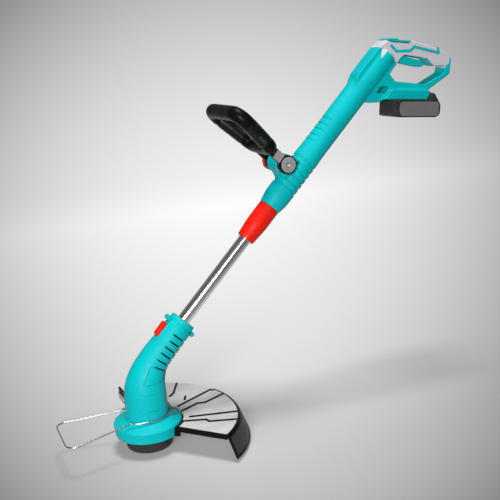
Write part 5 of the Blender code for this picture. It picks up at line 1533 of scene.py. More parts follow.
@dataclass
class Telescope:
    """The sliding aluminium tube and the fluted collar that clamps it."""

    tube_radius: float = TUBE_RADIUS
    tube_wall: float = 0.0012
    tube_low: float = 0.066
    tube_top: float = 0.620
    collar_low: float = 0.319
    collar_length: float = 0.077
    nose_radius: float = 0.0172
    collar_radius: float = 0.0208
    seat_radius: float = 0.0174
    bottom_wall: float = 0.010
    flutes: int = 18
    flute_radius: float = 0.0014

    def build_tube(self) -> None:
        """Build the drawn tube with its turned-in edges."""
        inner = self.tube_radius - self.tube_wall
        tube = turned("sliding_tube", (
            (inner, self.tube_low), (self.tube_radius, self.tube_low, 0.0004),
            (self.tube_radius, self.tube_top, 0.0004), (inner, self.tube_top),
        ), SHAFT, steps=96)
        piece(tube, "tube", ALUMINIUM, ["shaft_tube"])

    def build_collar(self) -> None:
        """Build the collar with its long flutes."""
        low = self.collar_low
        top = low + self.collar_length
        inner = self.tube_radius + RUN
        collar = turned("twist_collar", (
            (inner, low, 0.0004), (self.nose_radius, low, 0.0008),
            (self.nose_radius + 0.0006, low + 0.004, 0.002),
            (self.collar_radius - 0.0015, low + 0.020, 0.006), (self.collar_radius, low + 0.035, 0.006),
            (self.collar_radius, top - 0.001, 0.0005), (self.collar_radius - 0.001, top),
            (self.seat_radius, top), (self.seat_radius, low + self.bottom_wall),
            (inner, low + self.bottom_wall),
        ), SHAFT, steps=144)
        bars = []
        lean = math.atan2(self.collar_radius - 0.0015 - self.nose_radius, 0.018)
        for index in range(self.flutes):
            turn = SHAFT @ Matrix.Rotation(FULL_TURN * index / self.flutes, 4, "Z")
            upper = turn @ Matrix.Translation((self.collar_radius + 0.0008, 0, low + 0.024))
            lower = turn @ Matrix.Translation((self.nose_radius + 0.0016, 0, low + 0.006))
            lower = lower @ Matrix.Rotation(lean, 4, "Y")
            for frame, start, end in ((upper, 0.004, self.collar_length - 0.030), (lower, 0.0, 0.0165)):
                bars.append(rod("flute", self.flute_radius, start, end, frame, 0.0008, 16))
        carve(collar, Operation.CUT, joined(*bars), exact=True)
        piece(collar, "collar", RED, ["clamp_collar"])

    def build(self) -> None:
        """Build the tube and the collar."""
        self.build_tube()
        self.build_collar()


@dataclass
class RearHousing:
    """The rear shaft housing with its handle loop and battery rail, and the white grip covers."""

    low: float = 0.3963
    radius: float = 0.0245
    swell: float = 0.0254
    nose_radius: float = 0.0215
    station: float = HANDLE_STATION
    half: float = 0.017
    edge: float = 0.006
    rail_half: float = 0.026
    voxel: float = 0.0012
    rib_first: float = 0.048
    rib_pitch: float = 0.0125
    rib_count: int = 6
    rib_depth: float = 0.0019
    rib_round: float = 0.0028
    groove_first: float = 0.545
    groove_pitch: float = 0.0135
    groove_count: int = 5
    groove_round: float = 0.0026
    groove_spread: float = math.radians(52.0)
    rail_grooves: tuple[float, float] = (0.0060, 0.0125)
    rail_groove_width: float = 0.0018
    rail_groove_depth: float = 0.0015
    collar_bore: float = 0.0171
    tail: float = 0.040
    lug_radius: float = 0.0195
    lug_half: float = LUG_HALF
    outline: tuple[Rounded, ...] = HANDLE_OUTLINE
    opening: tuple[Rounded, ...] = (
        (0.0257, -0.0113, 0.003), (0.0387, -0.0263, 0.003), (0.1107, -0.0373, 0.004),
        (0.1560, -0.0178, 0.004), (0.1590, -0.0033, 0.002), (0.1310, -0.0035, 0.008),
        (0.1170, 0.0125, 0.004), (0.0580, 0.0243, 0.008), (0.0427, 0.0067, 0.004),
    )
    brace: tuple[Rounded, ...] = (
        (0.004, -0.034, 0.0015), (0.0255, -0.0345, 0.0015), (0.0155, -0.0468, 0.002), (-0.006, -0.046, 0.002),
    )
    cover: tuple[Point, ...] = (
        (-0.030, 0.070), (-0.0105, 0.0475), (0.0097, 0.0387), (0.0037, 0.0197), (0.0192, 0.0335),
        (0.0387, 0.0127), (0.0490, 0.0040), (0.0700, -0.0060), (0.1367, -0.0113), (0.1572, -0.0100),
        (0.1607, -0.0030), (0.1660, -0.0012), (0.1722, 0.0170), (0.1900, 0.0230), (0.190, 0.075),
    )
    rail: tuple[Rounded, ...] = (
        (-0.004, 0.0), (0.0143, 0.020, 0.003), (0.0986, 0.020, 0.003), (0.1052, 0.0137, 0.002),
        (0.0985, 0.0, 0.001),
    )
    stripe: tuple[Point, ...] = (
        (0.0310, 0.0420), (0.0425, 0.0312), (0.0745, 0.0302), (0.0845, 0.0372), (0.1420, 0.0222),
        (0.1412, 0.0305),
    )
    stripe_width: float = 0.0052
    stripe_depth: float = 0.0012
    stripe_proud: float = 0.0003
    trigger_slot: tuple[Point, ...] = (
        (0.0515, 0.0060), (0.1200, -0.0080), (0.1200, 0.0170), (0.1000, 0.0250), (0.0515, 0.0350),
    )
    slot_half: float = 0.0085
    lock_well: tuple[Point, ...] = (
        (0.0165, 0.0550), (0.0326, 0.0491), (0.0712, 0.0443), (0.0760, 0.0466), (0.0760, 0.0650),
        (0.0165, 0.0650),
    )
    channel: tuple[Point, ...] = ((0.0172, -0.01), (0.0172, 0.0036), (0.0215, 0.0036), (0.0215, 0.011))
    channel_span: Point = (0.005, 0.1152)
    bolt_hole: float = 0.0043
    screws: tuple[Point, ...] = ((0.1652, -0.0110), (-0.0140, -0.0560), (0.1110, -0.0430))
    screw_hole: float = 0.0017
    screw_length: float = 0.028
    lining: float = 0.0030
    lining_inset: float = 0.0020
    screw: Screw = field(default_factory=Screw)

    def barrel(self) -> bpy.types.Object:
        """The round shaft housing with its ring ribs."""
        low = self.low
        nose = self.nose_radius
        end = low + self.rib_first + self.rib_count * self.rib_pitch
        tail = self.station + self.tail
        return turned("barrel", (
            (0.0, low), (nose - 0.0002, low, 0.0006), (nose + 0.0002, low + 0.002),
            (self.radius - 0.0010, low + 0.011, 0.004), (self.swell, low + 0.022, 0.006),
            (self.swell, end, 0.004), (self.radius, end + 0.012, 0.004), (self.radius, tail - 0.004, 0.003),
            (self.half, tail + 0.002), (0.0, tail + 0.002),
        ), SHAFT, steps=96)

    def lug(self) -> bpy.types.Object:
        """The lug that carries the front handle's pivot."""
        x, z = PIVOT_STATION, PIVOT_HEIGHT
        foot = self.lug_radius * 1.25
        low = self.radius * 0.7
        top = arc(self.lug_radius, math.pi * 1.08, -math.pi * 0.08, 25, x, z)
        outline = [(x - foot, low), *top, (x + foot, low)]
        return prism("lug", outline, -self.lug_half, self.lug_half, SIDE, 0.0012, 2)

    def form(self) -> bpy.types.Object:
        """The housing's outer form, melted into one skin."""
        form = self.barrel()
        loop = prism("loop", self.outline, -self.half, self.half, HANDLE, self.edge, 4)
        rail = prism("rail", self.rail, -self.rail_half, self.rail_half, RAIL, 0.0022, 3)
        carve(form, Operation.JOIN, self.lug(), loop, rail)
        reach = self.half + 0.02
        hole = prism("hole", self.opening, -reach, reach, HANDLE)
        slot = prism("slot", self.brace, -reach, reach, HANDLE)
        carve(form, Operation.CUT, hole, slot)
        return melted(form, self.voxel, 6)

    def details(self, form: bpy.types.Object) -> None:
        """Cut the ribs, grooves, wells and bores.

        Args:
            form: The housing's form.
        """
        bore = self.radius - WALL
        floor = self.low + WALL
        hollow = turned("hollow", (
            (0.0, self.low - 0.01), (self.collar_bore, self.low - 0.01), (self.collar_bore, floor),
            (self.nose_radius - 0.0004, floor), (bore, floor + 0.020), (bore, self.station - 0.006),
            (self.half - 0.002, self.station + 0.016), (0.0, self.station + 0.020),
        ), SHAFT, steps=72)
        carve(form, Operation.CUT, hollow)
        for index in range(self.groove_count):
            place = self.groove_first + index * self.groove_pitch
            carve(form, Operation.CUT, ring("groove", self.radius + 0.0007, self.groove_round, place, SHAFT,
                                            math.pi - self.groove_spread, 2 * self.groove_spread, 48))
        major = self.swell + self.rib_round - self.rib_depth
        for index in range(self.rib_count):
            place = self.low + self.rib_first + index * self.rib_pitch
            carve(form, Operation.CUT, ring("groove", major, self.rib_round, place, SHAFT, steps=144))
        for hand in Hand:
            low, high = across(hand, self.rail_half - self.rail_groove_depth, self.rail_half + 0.001)
            for height in self.rail_grooves:
                top = height + self.rail_groove_width
                carve(form, Operation.CUT, block("groove", (0.010, low, height), (0.120, high, top), RAIL))
        half = self.slot_half + RUN
        carve(form, Operation.CUT, prism("slot", self.trigger_slot, -half, half, HANDLE, corner=0.002))
        carve(form, Operation.CUT, prism("well", self.lock_well, -FAR / 6, FAR / 6, HANDLE))
        tee = [*self.channel, *((-x, z) for x, z in reversed(self.channel))]
        carve(form, Operation.CUT, prism("channel", tee, *self.channel_span, RAIL @ ALONG_X))
        carve(form, Operation.CUT, rod("bolt_hole", self.bolt_hole, -FAR, FAR, along_y(PIVOT, 0, 0)))

    def stripe_bars(self, hand: Hand, extra: float, depth: float, outside: float) -> bpy.types.Object:
        """The accent's line of bars on one side, in one solid.

        Args:
            hand: The side.
            extra: How much wider the line is on each side.
            depth: The bars' inner face, from the middle plane.
            outside: Their outer face.

        Returns:
            The solid.
        """
        width = self.stripe_width / 2 + extra
        low, high = across(hand, depth, outside)
        bars = []
        for (ax, az), (bx, bz) in zip(self.stripe, self.stripe[1:]):
            turn = Matrix.Rotation(-math.atan2(bz - az, bx - ax), 4, "Y")
            length = math.hypot(bx - ax, bz - az)
            frame = HANDLE @ Matrix.Translation((ax, 0, az)) @ turn
            bars.append(block("accent", (-width, low, -width), (length + width, high, width), frame))
        return carve(bars[0], Operation.JOIN, *bars[1:], exact=True)

    def build_stripe(self, hand: Hand, cover: bpy.types.Object) -> None:
        """Cut an accent's channel into a cover and build the accent.

        Args:
            hand: The side.
            cover: The cover of that side.
        """
        depth = self.half - self.stripe_depth
        carve(cover, Operation.CUT, self.stripe_bars(hand, GAP, depth, 0.05))
        accent = self.stripe_bars(hand, 0.0, depth - GAP, self.half + self.stripe_proud)
        accent.name = f"accent_{hand.word}"
        soft = accent.modifiers.new("soft", "BEVEL")
        soft.width = 0.0003
        soft.segments = 2
        soft.limit_method = "ANGLE"
        piece(apply_modifiers(accent), "root", TEAL, [f"accent_stripe_{hand.word}"])

    def cover_region(self) -> bpy.types.Object:
        """The space that the white covers fill, without the lining above the trigger."""
        region = prism("region", self.cover, -FAR, FAR, HANDLE)
        depth = self.half - self.lining_inset
        raised = HANDLE @ Matrix.Translation((0.0, 0.0, self.lining))
        return carve(region, Operation.CUT, prism("lining", self.opening, -depth, depth, raised))

    def build(self) -> None:
        """Build both halves, the covers, the accents and the screws."""
        form = self.form()
        self.details(form)
        cover = twin(form, "cover")
        carve(cover, Operation.KEEP, self.cover_region())
        wider = self.cover_region()
        grow = wider.modifiers.new("grow", "DISPLACE")
        grow.strength = GAP
        grow.mid_level = 0.0
        carve(form, Operation.CUT, apply_modifiers(wider))
        for hand in Hand:
            half = halved(form, hand, f"rear_housing_{hand.word}")
            for x, z in self.screws:
                hole = rod("hole", self.screw_hole, -0.013, 0.03, along_y(HANDLE, x, z), steps=24)
                carve(half, Operation.CUT, hole)
            piece(half, "root", TEAL, [f"housing_{hand.word}"], sharp=50.0, weigh=False)
            shell = halved(cover, hand, f"grip_shell_{hand.word}")
            self.build_stripe(hand, shell)
            piece(shell, "root", WHITE, [f"grip_cover_{hand.word}"], sharp=50.0, weigh=False)
        bpy.data.objects.remove(form)
        bpy.data.objects.remove(cover)
        for index, (x, z) in enumerate(self.screws, 1):
            axis = along_y(HANDLE, x, z) @ Matrix.Translation((0, 0, self.half + GAP))
            self.screw.build(f"housing_screw_{index}", axis, self.screw_length, "root")


@dataclass
class HandleControls:
    """The trigger, the lock-off button and the battery latch."""

    trigger_outline: tuple[Rounded, ...] = (
        (0.0540, 0.0220), (0.0530, 0.0150, 0.003), (0.0570, 0.0080, 0.003), (0.0750, 0.0030, 0.006),
        (0.0950, -0.0015, 0.006), (0.1080, -0.0035, 0.003), (0.1125, -0.0005, 0.002), (0.1135, 0.0045, 0.002),
        (0.1110, 0.0085, 0.002), (0.0900, 0.0135, 0.004), (0.0680, 0.0200, 0.004), (0.0660, 0.0270, 0.001),
        (0.0600, 0.0310, 0.002), (0.0550, 0.0280, 0.001),
    )
    trigger_half: float = 0.0085
    trigger_pin: tuple[float, float, float] = (0.0600, 0.0262, 0.0021)
    lock_outline: tuple[Rounded, ...] = (
        (0.0195, 0.0555), (0.0329, 0.0508), (0.0709, 0.0461), (0.0757, 0.0482), (0.0757, 0.0502, 0.0005),
        (0.0671, 0.0506, 0.002), (0.0470, 0.0530, 0.002), (0.0425, 0.0600, 0.001), (0.0195, 0.0600),
    )
    lock_ridge: Point = (0.0500, 0.0530)
    lock_pitch: Point = (0.0042, -0.000504)
    lock_ridges: int = 4
    grip_half: float = 0.017
    grip_edge: float = 0.006
    latch_outline: tuple[Rounded, ...] = (
        (0.1064, 0.0040), (0.1064, 0.0165, 0.001), (0.1085, 0.0175, 0.001), (0.1130, 0.0120, 0.002),
        (0.1135, 0.0040),
    )
    latch_half: float = 0.0190
    latch_ridge: Point = (0.1098, 0.0162)
    latch_pitch: Point = (0.0016, -0.0020)
    latch_ridges: int = 3

    def build(self) -> None:
        """Build the three controls."""
        half = self.trigger_half
        trigger = prism("trigger_bar", self.trigger_outline, -half, half, HANDLE, 0.0020, 4)
        x, z, radius = self.trigger_pin
        carve(trigger, Operation.CUT, rod("pin", radius, -FAR, FAR, along_y(HANDLE, x, z)))
        piece(trigger, "trigger", TEAL, ["trigger"])
        half = self.grip_half
        lock = prism("lock_slider", HANDLE_OUTLINE, -half, half, HANDLE, self.grip_edge, 4)
        carve(lock, Operation.KEEP, prism("region", self.lock_outline, -FAR / 6, FAR / 6, HANDLE))
        for index in range(self.lock_ridges):
            x, z = (first + index * step for first, step in zip(self.lock_ridge, self.lock_pitch))
            carve(lock, Operation.CUT, rod("rib", 0.0008, -0.0105, 0.0105, along_y(HANDLE, x, z), 0.0002, 16))
        piece(lock, "lock_off", TEAL, ["lock_off_button"])
        latch = prism("latch_button", self.latch_outline, -self.latch_half, self.latch_half, RAIL, 0.0010, 3)
        for index in range(self.latch_ridges):
            x, z = (first + index * step for first, step in zip(self.latch_ridge, self.latch_pitch))
            carve(latch, Operation.CUT, rod("rib", 0.0006, -0.013, 0.013, along_y(RAIL, x, z), 0.0002, 16))
        piece(latch, "latch", RED, ["battery_latch_button"])


@dataclass
class BatteryPack:
    """The slide-on pack, with its stepped front, bare label panel and grip teeth."""

    half: float = 0.036
    wall: float = 0.0020
    edge: float = 0.005
    split: float = -0.0125
    outline: tuple[Rounded, ...] = (
        (0.0180, -0.0305, 0.002), (0.0220, -0.0345, 0.002), (0.1160, -0.0345, 0.003),
        (0.1235, -0.0280, 0.004), (0.1240, -0.0125, 0.003), (0.1235, -0.0090, 0.003),
        (0.1085, 0.0120, 0.001), (0.1060, 0.0134), (0.0992, -0.0001), (0.0180, -0.0001, 0.001),
    )
    hollow: tuple[Point, ...] = (
        (0.0203, -0.0325), (0.1215, -0.0325), (0.1215, -0.0140), (0.0980, -0.0028), (0.0203, -0.0028),
    )
    pocket: tuple[Point, ...] = (
        (0.0864, 0.0265), (0.0864, -0.0005), (0.1141, -0.0005), (0.1136, 0.0220), (0.1091, 0.0275),
    )
    pocket_half: float = 0.0193
    tongue: tuple[float, ...] = (0.0172, 0.0215, -0.0018, 0.0036, 0.0110)
    tongue_span: Point = (0.0210, 0.0960)
    front: float = 0.0180
    nose: Point = (0.0080, 0.0120)
    label: tuple[Rounded, ...] = (
        (0.0275, -0.0310, 0.010), (0.1190, -0.0310, 0.007), (0.1190, -0.0045, 0.008),
        (0.0275, -0.0045, 0.010),
    )
    moat: Point = (0.0016, 0.0010)
    label_margin: float = 0.0010
    nose_cuts: tuple[tuple[float, ...], ...] = (
        (0.10, 0.52, -0.0280, -0.0060, 0.0014), (0.57, 0.66, -0.0600, 0.0200, 0.0026),
        (0.74, 0.80, -0.0310, -0.0030, 0.0018), (0.88, 0.94, -0.0310, -0.0030, 0.0018),
    )
    teeth: int = 12
    tooth_first: float = 0.0345
    tooth_pitch: float = 0.0072
    tooth_size: Point = (0.0032, 0.0022)
    tooth_depth: float = 0.0080
    tooth_rows: tuple[tuple[float, float], ...] = ((-0.0350, FAR), (-0.0002, 0.092))
    reach: float = 0.060

    def grown(self, points: Sequence[Rounded], by: float, softer: float) -> list[Rounded]:
        """A rounded rectangle with its sides moved out by a margin.

        Args:
            points: Its corners.
            by: The margin.
            softer: What its corners' rounding gains.

        Returns:
            The grown corners.
        """
        middle_x = sum(point[0] for point in points) / len(points)
        middle_z = sum(point[1] for point in points) / len(points)
        return [(x + math.copysign(by, x - middle_x), z + math.copysign(by, z - middle_z), r + softer)
                for x, z, r in points]

    def whole(self) -> bpy.types.Object:
        """The pack's outer block before it is parted."""
        return self.slanted(prism("pack", self.outline, -self.half, self.half, RAIL, self.edge, 4), 0.0)

    def slanted(self, target: bpy.types.Object, inset: float) -> bpy.types.Object:
        """Cut the two slanted corners off the front of the pack, or of the hollow in it.

        Args:
            target: The shape to cut.
            inset: How far the cuts lie inside the pack's outer ones.

        Returns:
            The shape.
        """
        length, depth = self.nose
        edge = self.half - inset * math.hypot(length, depth) / length
        beyond = 3
        upright = RAIL @ Matrix.Rotation(math.pi / 2, 4, "X")
        for hand in Hand:
            corners = ((self.front - beyond * length, edge - depth - beyond * depth),
                       (self.front + (1 + beyond) * length, edge + beyond * depth),
                       (self.front - beyond * length, edge + beyond * depth))
            corners = [(x, -hand.value * y) for x, y in corners]
            carve(target, Operation.CUT, prism("corner", corners, -self.reach, 0.04, upright))
        return target

    def side_cutter(self, hand: Hand, points: Sequence[Sequence[float]], depth: float) -> bpy.types.Object:
        """A cutter with an outline that goes to a depth into one side of the pack."""
        return prism("cut", points, *across(hand, self.half - depth, self.half + 0.004), RAIL)

    def side_details(self, pack: bpy.types.Object) -> None:
        """Cut the step, the inset panel, the label's groove and the teeth on both sides.

        Args:
            pack: The pack's block.
        """
        margin, moat_depth = self.moat
        wide, high = self.tooth_size
        length = math.hypot(*self.nose)
        for hand in Hand:
            moat = self.side_cutter(hand, self.grown(self.label, margin, margin), moat_depth)
            carve(moat, Operation.CUT, self.side_cutter(hand, self.label, 10 * moat_depth))
            carve(pack, Operation.CUT, moat)
            for index in range(self.teeth):
                x = self.tooth_first + index * self.tooth_pitch
                for z, last in self.tooth_rows:
                    if x < last:
                        tooth = ((x, z - high), (x + wide, z - high), (x + wide, z + high), (x, z + high))
                        carve(pack, Operation.CUT, self.side_cutter(hand, tooth, self.tooth_depth))
            turn = Matrix.Rotation(hand.value * math.atan2(self.nose[1], self.nose[0]), 4, "Z")
            face = RAIL @ Matrix.Translation((self.front, hand.value * (self.half - self.nose[1]), 0)) @ turn
            for start, end, bottom, top, depth in self.nose_cuts:
                inner, outer = across(hand, -depth, 0.006)
                inset = block("inset", (start * length, inner, bottom), (end * length, outer, top), face)
                carve(pack, Operation.CUT, inset)
        step = block("step", (0.0, -self.reach, -0.05), (0.0285, self.reach, -0.0322), RAIL, 0.0008)
        carve(pack, Operation.CUT, step)

    def build_label(self, hand: Hand) -> None:
        """Build the bare label panel of one side.

        Args:
            hand: The side.
        """
        low, high = across(hand, self.half - 0.0006, self.half + 0.0002)
        outline = self.grown(self.label, self.label_margin, -self.label_margin)
        plate = prism(f"label_plate_{hand.word}", outline, low, high, RAIL, 0.0002, 2)
        piece(plate, "battery", LABEL, slot="dark_grey_plastic")

    def build(self) -> None:
        """Build the two cases and the label panels."""
        pack = self.whole()
        self.side_details(pack)
        inner = self.half - self.wall
        hollow = self.slanted(prism("hollow", self.hollow, -inner, inner, RAIL), self.wall)
        carve(pack, Operation.CUT, hollow)
        neck, head, low, middle, high = self.tongue
        tee = [(neck - RUN, low), (neck - RUN, middle + RUN), (head - RUN, middle + RUN),
               (head - RUN, high - RUN)]
        tee += [(-x, z) for x, z in reversed(tee)]
        carve(pack, Operation.JOIN, prism("tongue", tee, *self.tongue_span, RAIL @ ALONG_X))
        half = self.pocket_half
        carve(pack, Operation.CUT, prism("pocket", self.pocket, -half, half, RAIL))
        cases = (("pack_base", "battery_case_lower", -0.06, self.split - GAP / 2),
                 ("pack_top", "battery_case_upper", self.split + GAP / 2, 0.05))
        for name, node, low, high in cases:
            case = twin(pack, name)
            carve(case, Operation.KEEP, block("slab", (-0.05, -0.1, low), (0.2, 0.1, high), RAIL))
            piece(case, "battery", GREY, [node])
        bpy.data.objects.remove(pack)
        for hand in Hand:
            self.build_label(hand)


@dataclass
class FrontHandle:
    """The loop handle on its pivot, with its rubber grips, cap, bolt and clamp knob."""

    near: float = 0.051
    far: float = 0.153
    near_half: float = 0.047
    far_half: float = 0.066
    corner: float = 0.020
    bar_radius: float = 0.0136
    core_radius: float = 0.0110
    grip_radius: float = 0.0138
    grip_gap: float = 0.003
    lug_half: float = LUG_HALF
    hub_radius: float = 0.0178
    hub_thickness: float = 0.0135
    arm_half: float = 0.010
    arm_thickness: float = 0.0105
    bolt_radius: float = 0.004
    bolt_proud: float = 0.010
    socket_radius: float = 0.0022
    cap_radius: float = 0.0172
    cap_thickness: float = 0.0018
    knob_radius: float = 0.0172
    knob_thickness: float = 0.014
    lobes: int = 6
    scoop: Point = (0.0066, 0.0052)
    teeth: int = 40
    tooth_radius: float = 0.0008
    ring_count: int = 6
    ring_pitch: float = 0.0038
    ring_depth: float = 0.0006
    ring_start: float = 0.52

    @property
    def hub_outer(self) -> float:
        """The hub's outer face, from the middle plane."""
        return self.lug_half + GAP + self.hub_thickness

    def path(self) -> list[tuple[float, float, float]]:
        """The loop's centre line as (x, y, radius) points, right half first."""
        slope = math.atan2(self.far_half - self.near_half, self.far - self.near)
        bend = math.pi / 2 + slope
        half = [(x, y, self.bar_radius) for x, y in
                arc(self.corner, 0.0, bend, 12, self.far - self.corner, self.far_half - self.corner)]
        near = arc(self.corner, bend, math.pi, 10, self.near + self.corner, self.near_half - self.corner)
        first = Vector(half[-1][:2])
        last = Vector(near[0])
        along = (last - first).normalized()
        for point, radius in ((first + along * (self.grip_gap - 0.0004), self.bar_radius),
                              (first + along * self.grip_gap, self.core_radius),
                              (last - along * self.grip_gap, self.core_radius),
                              (last - along * (self.grip_gap - 0.0004), self.bar_radius)):
            half.append((point.x, point.y, radius))
        half += [(x, y, self.bar_radius) for x, y in near]
        return half + [(x, -y, r) for x, y, r in reversed(half)]

    def build_loop(self) -> None:
        """Build the loop with its arms and hubs."""
        path = self.path()
        frames = []
        for index, (x, y, radius) in enumerate(path):
            before = Vector(path[index - 1][:2])
            after = Vector(path[(index + 1) % len(path)][:2])
            turn = math.atan2(after.y - before.y, after.x - before.x)
            stand = Matrix.Translation((x, y, 0)) @ Matrix.Rotation(turn, 4, "Z")
            frames.append(AUX @ stand @ Matrix.Rotation(math.pi / 2, 4, "Y") @ Matrix.Scale(radius, 4))
        loop = swept("front_loop", frames, 40, closed=True)
        for hand in Hand:
            carve(loop, Operation.JOIN, self.hub(hand))
        bore = rod("bore", self.bolt_radius + GAP, -FAR, FAR, along_y(AUX, 0, 0), steps=48)
        carve(loop, Operation.CUT, bore)
        piece(loop, "aux_handle", BLACK, ["aux_handle_frame"])

    def hub(self, hand: Hand) -> bpy.types.Object:
        """The toothed hub of one side with its arm.

        Args:
            hand: The side.

        Returns:
            The solid.
        """
        low, high = across(hand, self.lug_half + GAP, self.hub_outer)
        axis = along_y(AUX, 0, 0)
        hub = rod("hub", self.hub_radius, low, high, axis, 0.0010, 96)
        teeth = []
        for tooth in range(self.teeth):
            frame = axis @ Matrix.Rotation(FULL_TURN * tooth / self.teeth, 4, "Z")
            frame = frame @ Matrix.Translation((self.hub_radius + self.tooth_radius / 2, 0, 0))
            teeth.append(rod("tooth", self.tooth_radius, low + 0.0012, high - 0.0012, frame, steps=12))
        carve(hub, Operation.CUT, joined(*teeth))
        inset = 0.0006
        low, high = across(hand, self.hub_outer - inset, self.hub_outer - self.arm_thickness + inset)
        reach = self.near + 0.004
        half = self.arm_half
        outline = ((0.0, -half), (reach, -half * 0.9), (reach, half * 0.9), (0.0, half))
        return carve(hub, Operation.JOIN, prism("arm", outline, low, high, AUX, 0.0012, 3))

    def build_grip(self, hand: Hand) -> None:
        """Build the rubber grip on one side bar, with its fine rings.

        Args:
            hand: The side.
        """
        first, last = [Vector((x, y)) for x, y, radius in self.path() if radius == self.core_radius][:2]
        along = (last - first).normalized()
        length = (last - first).length
        turn = math.atan2(along.y * hand.value, along.x)
        start = AUX @ Matrix.Translation((first.x, first.y * hand.value, 0)) @ Matrix.Rotation(turn, 4, "Z")
        bore = self.core_radius + GAP
        low = GAP
        high = length - GAP
        radius = self.grip_radius
        points: list[tuple[float, ...]] = [(bore, low), (radius - 0.0010, low, 0.0008),
                                           (radius, low + 0.004, 0.003)]
        first_ring = low + (high - low) * self.ring_start
        for index in range(self.ring_count):
            place = first_ring + index * self.ring_pitch
            points += [(radius, place - 0.0007, 0.0003), (radius - self.ring_depth, place),
                       (radius, place + 0.0007, 0.0003)]
        points += [(radius, high - 0.004, 0.003), (radius - 0.0010, high, 0.0008), (bore, high)]
        frame = start @ Matrix.Rotation(math.pi / 2, 4, "Y")
        grip = turned(f"rubber_grip_{hand.word}", points, frame, steps=64)
        piece(grip, "aux_handle", RUBBER, [f"aux_grip_{hand.word}"])

    def build_cap(self) -> None:
        """Build the grey arm plate and the pivot's cap."""
        face = -self.hub_outer
        end = self.near - self.bar_radius - 0.0015
        start = self.hub_radius + GAP
        outline = ((start, -self.arm_half * 0.95), (end, -self.arm_half * 0.9), (end, self.arm_half * 0.9),
                   (start, self.arm_half * 0.95))
        plate = prism("arm_facing", outline, face - 0.0007, face + 0.0003, AUX, 0.0003, 2)
        piece(plate, "aux_handle", SILVER, ["arm_plate"])
        frame = AUX @ Matrix.Rotation(math.pi / 2, 4, "X") @ Matrix.Translation((0, 0, self.hub_outer + GAP))
        bore = self.bolt_radius + 0.0006
        rim = self.cap_radius - 0.0022
        high = self.cap_thickness
        cap = turned("pivot_disc", (
            (bore, 0.0), (rim, 0.0), (rim, high * 0.6, 0.0003), (rim - 0.0008, high, 0.0005),
            (bore + 0.0016, high, 0.0004), (bore + 0.0014, high * 0.2), (bore, high * 0.2),
        ), frame, steps=96)
        piece(cap, "aux_handle", SILVER, ["pivot_cap"])

    def build_bolt(self) -> None:
        """Build the bolt with its socket head."""
        low = -self.hub_outer - self.cap_thickness
        high = self.hub_outer + self.bolt_proud
        radius = self.bolt_radius
        axis = along_y(PIVOT, 0, 0)
        bolt = turned("handle_bolt", ((0.0, low), (radius, low, 0.0004), (radius, high, 0.0006), (0.0, high)),
                      axis, steps=48)
        key = self.socket_radius
        socket = ((0.0, low - 0.001), (key, low - 0.001), (key, low + 0.0012), (0.0, low + 0.0012))
        carve(bolt, Operation.CUT, turned("socket", socket, axis, steps=6))
        piece(bolt, "root", BRIGHT, ["pivot_bolt"], slot="steel")

    def build_knob(self) -> None:
        """Build the lobed clamp knob."""
        low = self.hub_outer + GAP
        high = low + self.knob_thickness
        frame = along_y(PIVOT, 0, 0)
        rim = self.knob_radius
        profile = ((0.0, low), (rim, low, 0.0012), (rim, high, 0.0030), (0.0, high - 0.0010))
        knob = turned("clamp_wheel", profile, frame, steps=120, segments=5)
        scoops = []
        radius, outside = self.scoop
        for lobe in range(self.lobes):
            turn = Matrix.Rotation(FULL_TURN * (lobe + 0.5) / self.lobes, 4, "Z")
            where = frame @ turn @ Matrix.Translation((rim + outside, 0, 0))
            scoops.append(rod("scoop", radius, low - 0.002, high + 0.002, where, steps=48))
        end = self.hub_outer + self.bolt_proud + GAP
        bore = rod("bore", self.bolt_radius + GAP, 0.0, end, frame, steps=48)
        carve(knob, Operation.CUT, joined(*scoops), bore)
        piece(knob, "knob", RED, ["clamp_knob"])

    def build(self) -> None:
        """Build the whole handle."""
        self.build_loop()
        for hand in Hand:
            self.build_grip(hand)
        self.build_cap()
        self.build_bolt()
        self.build_knob()


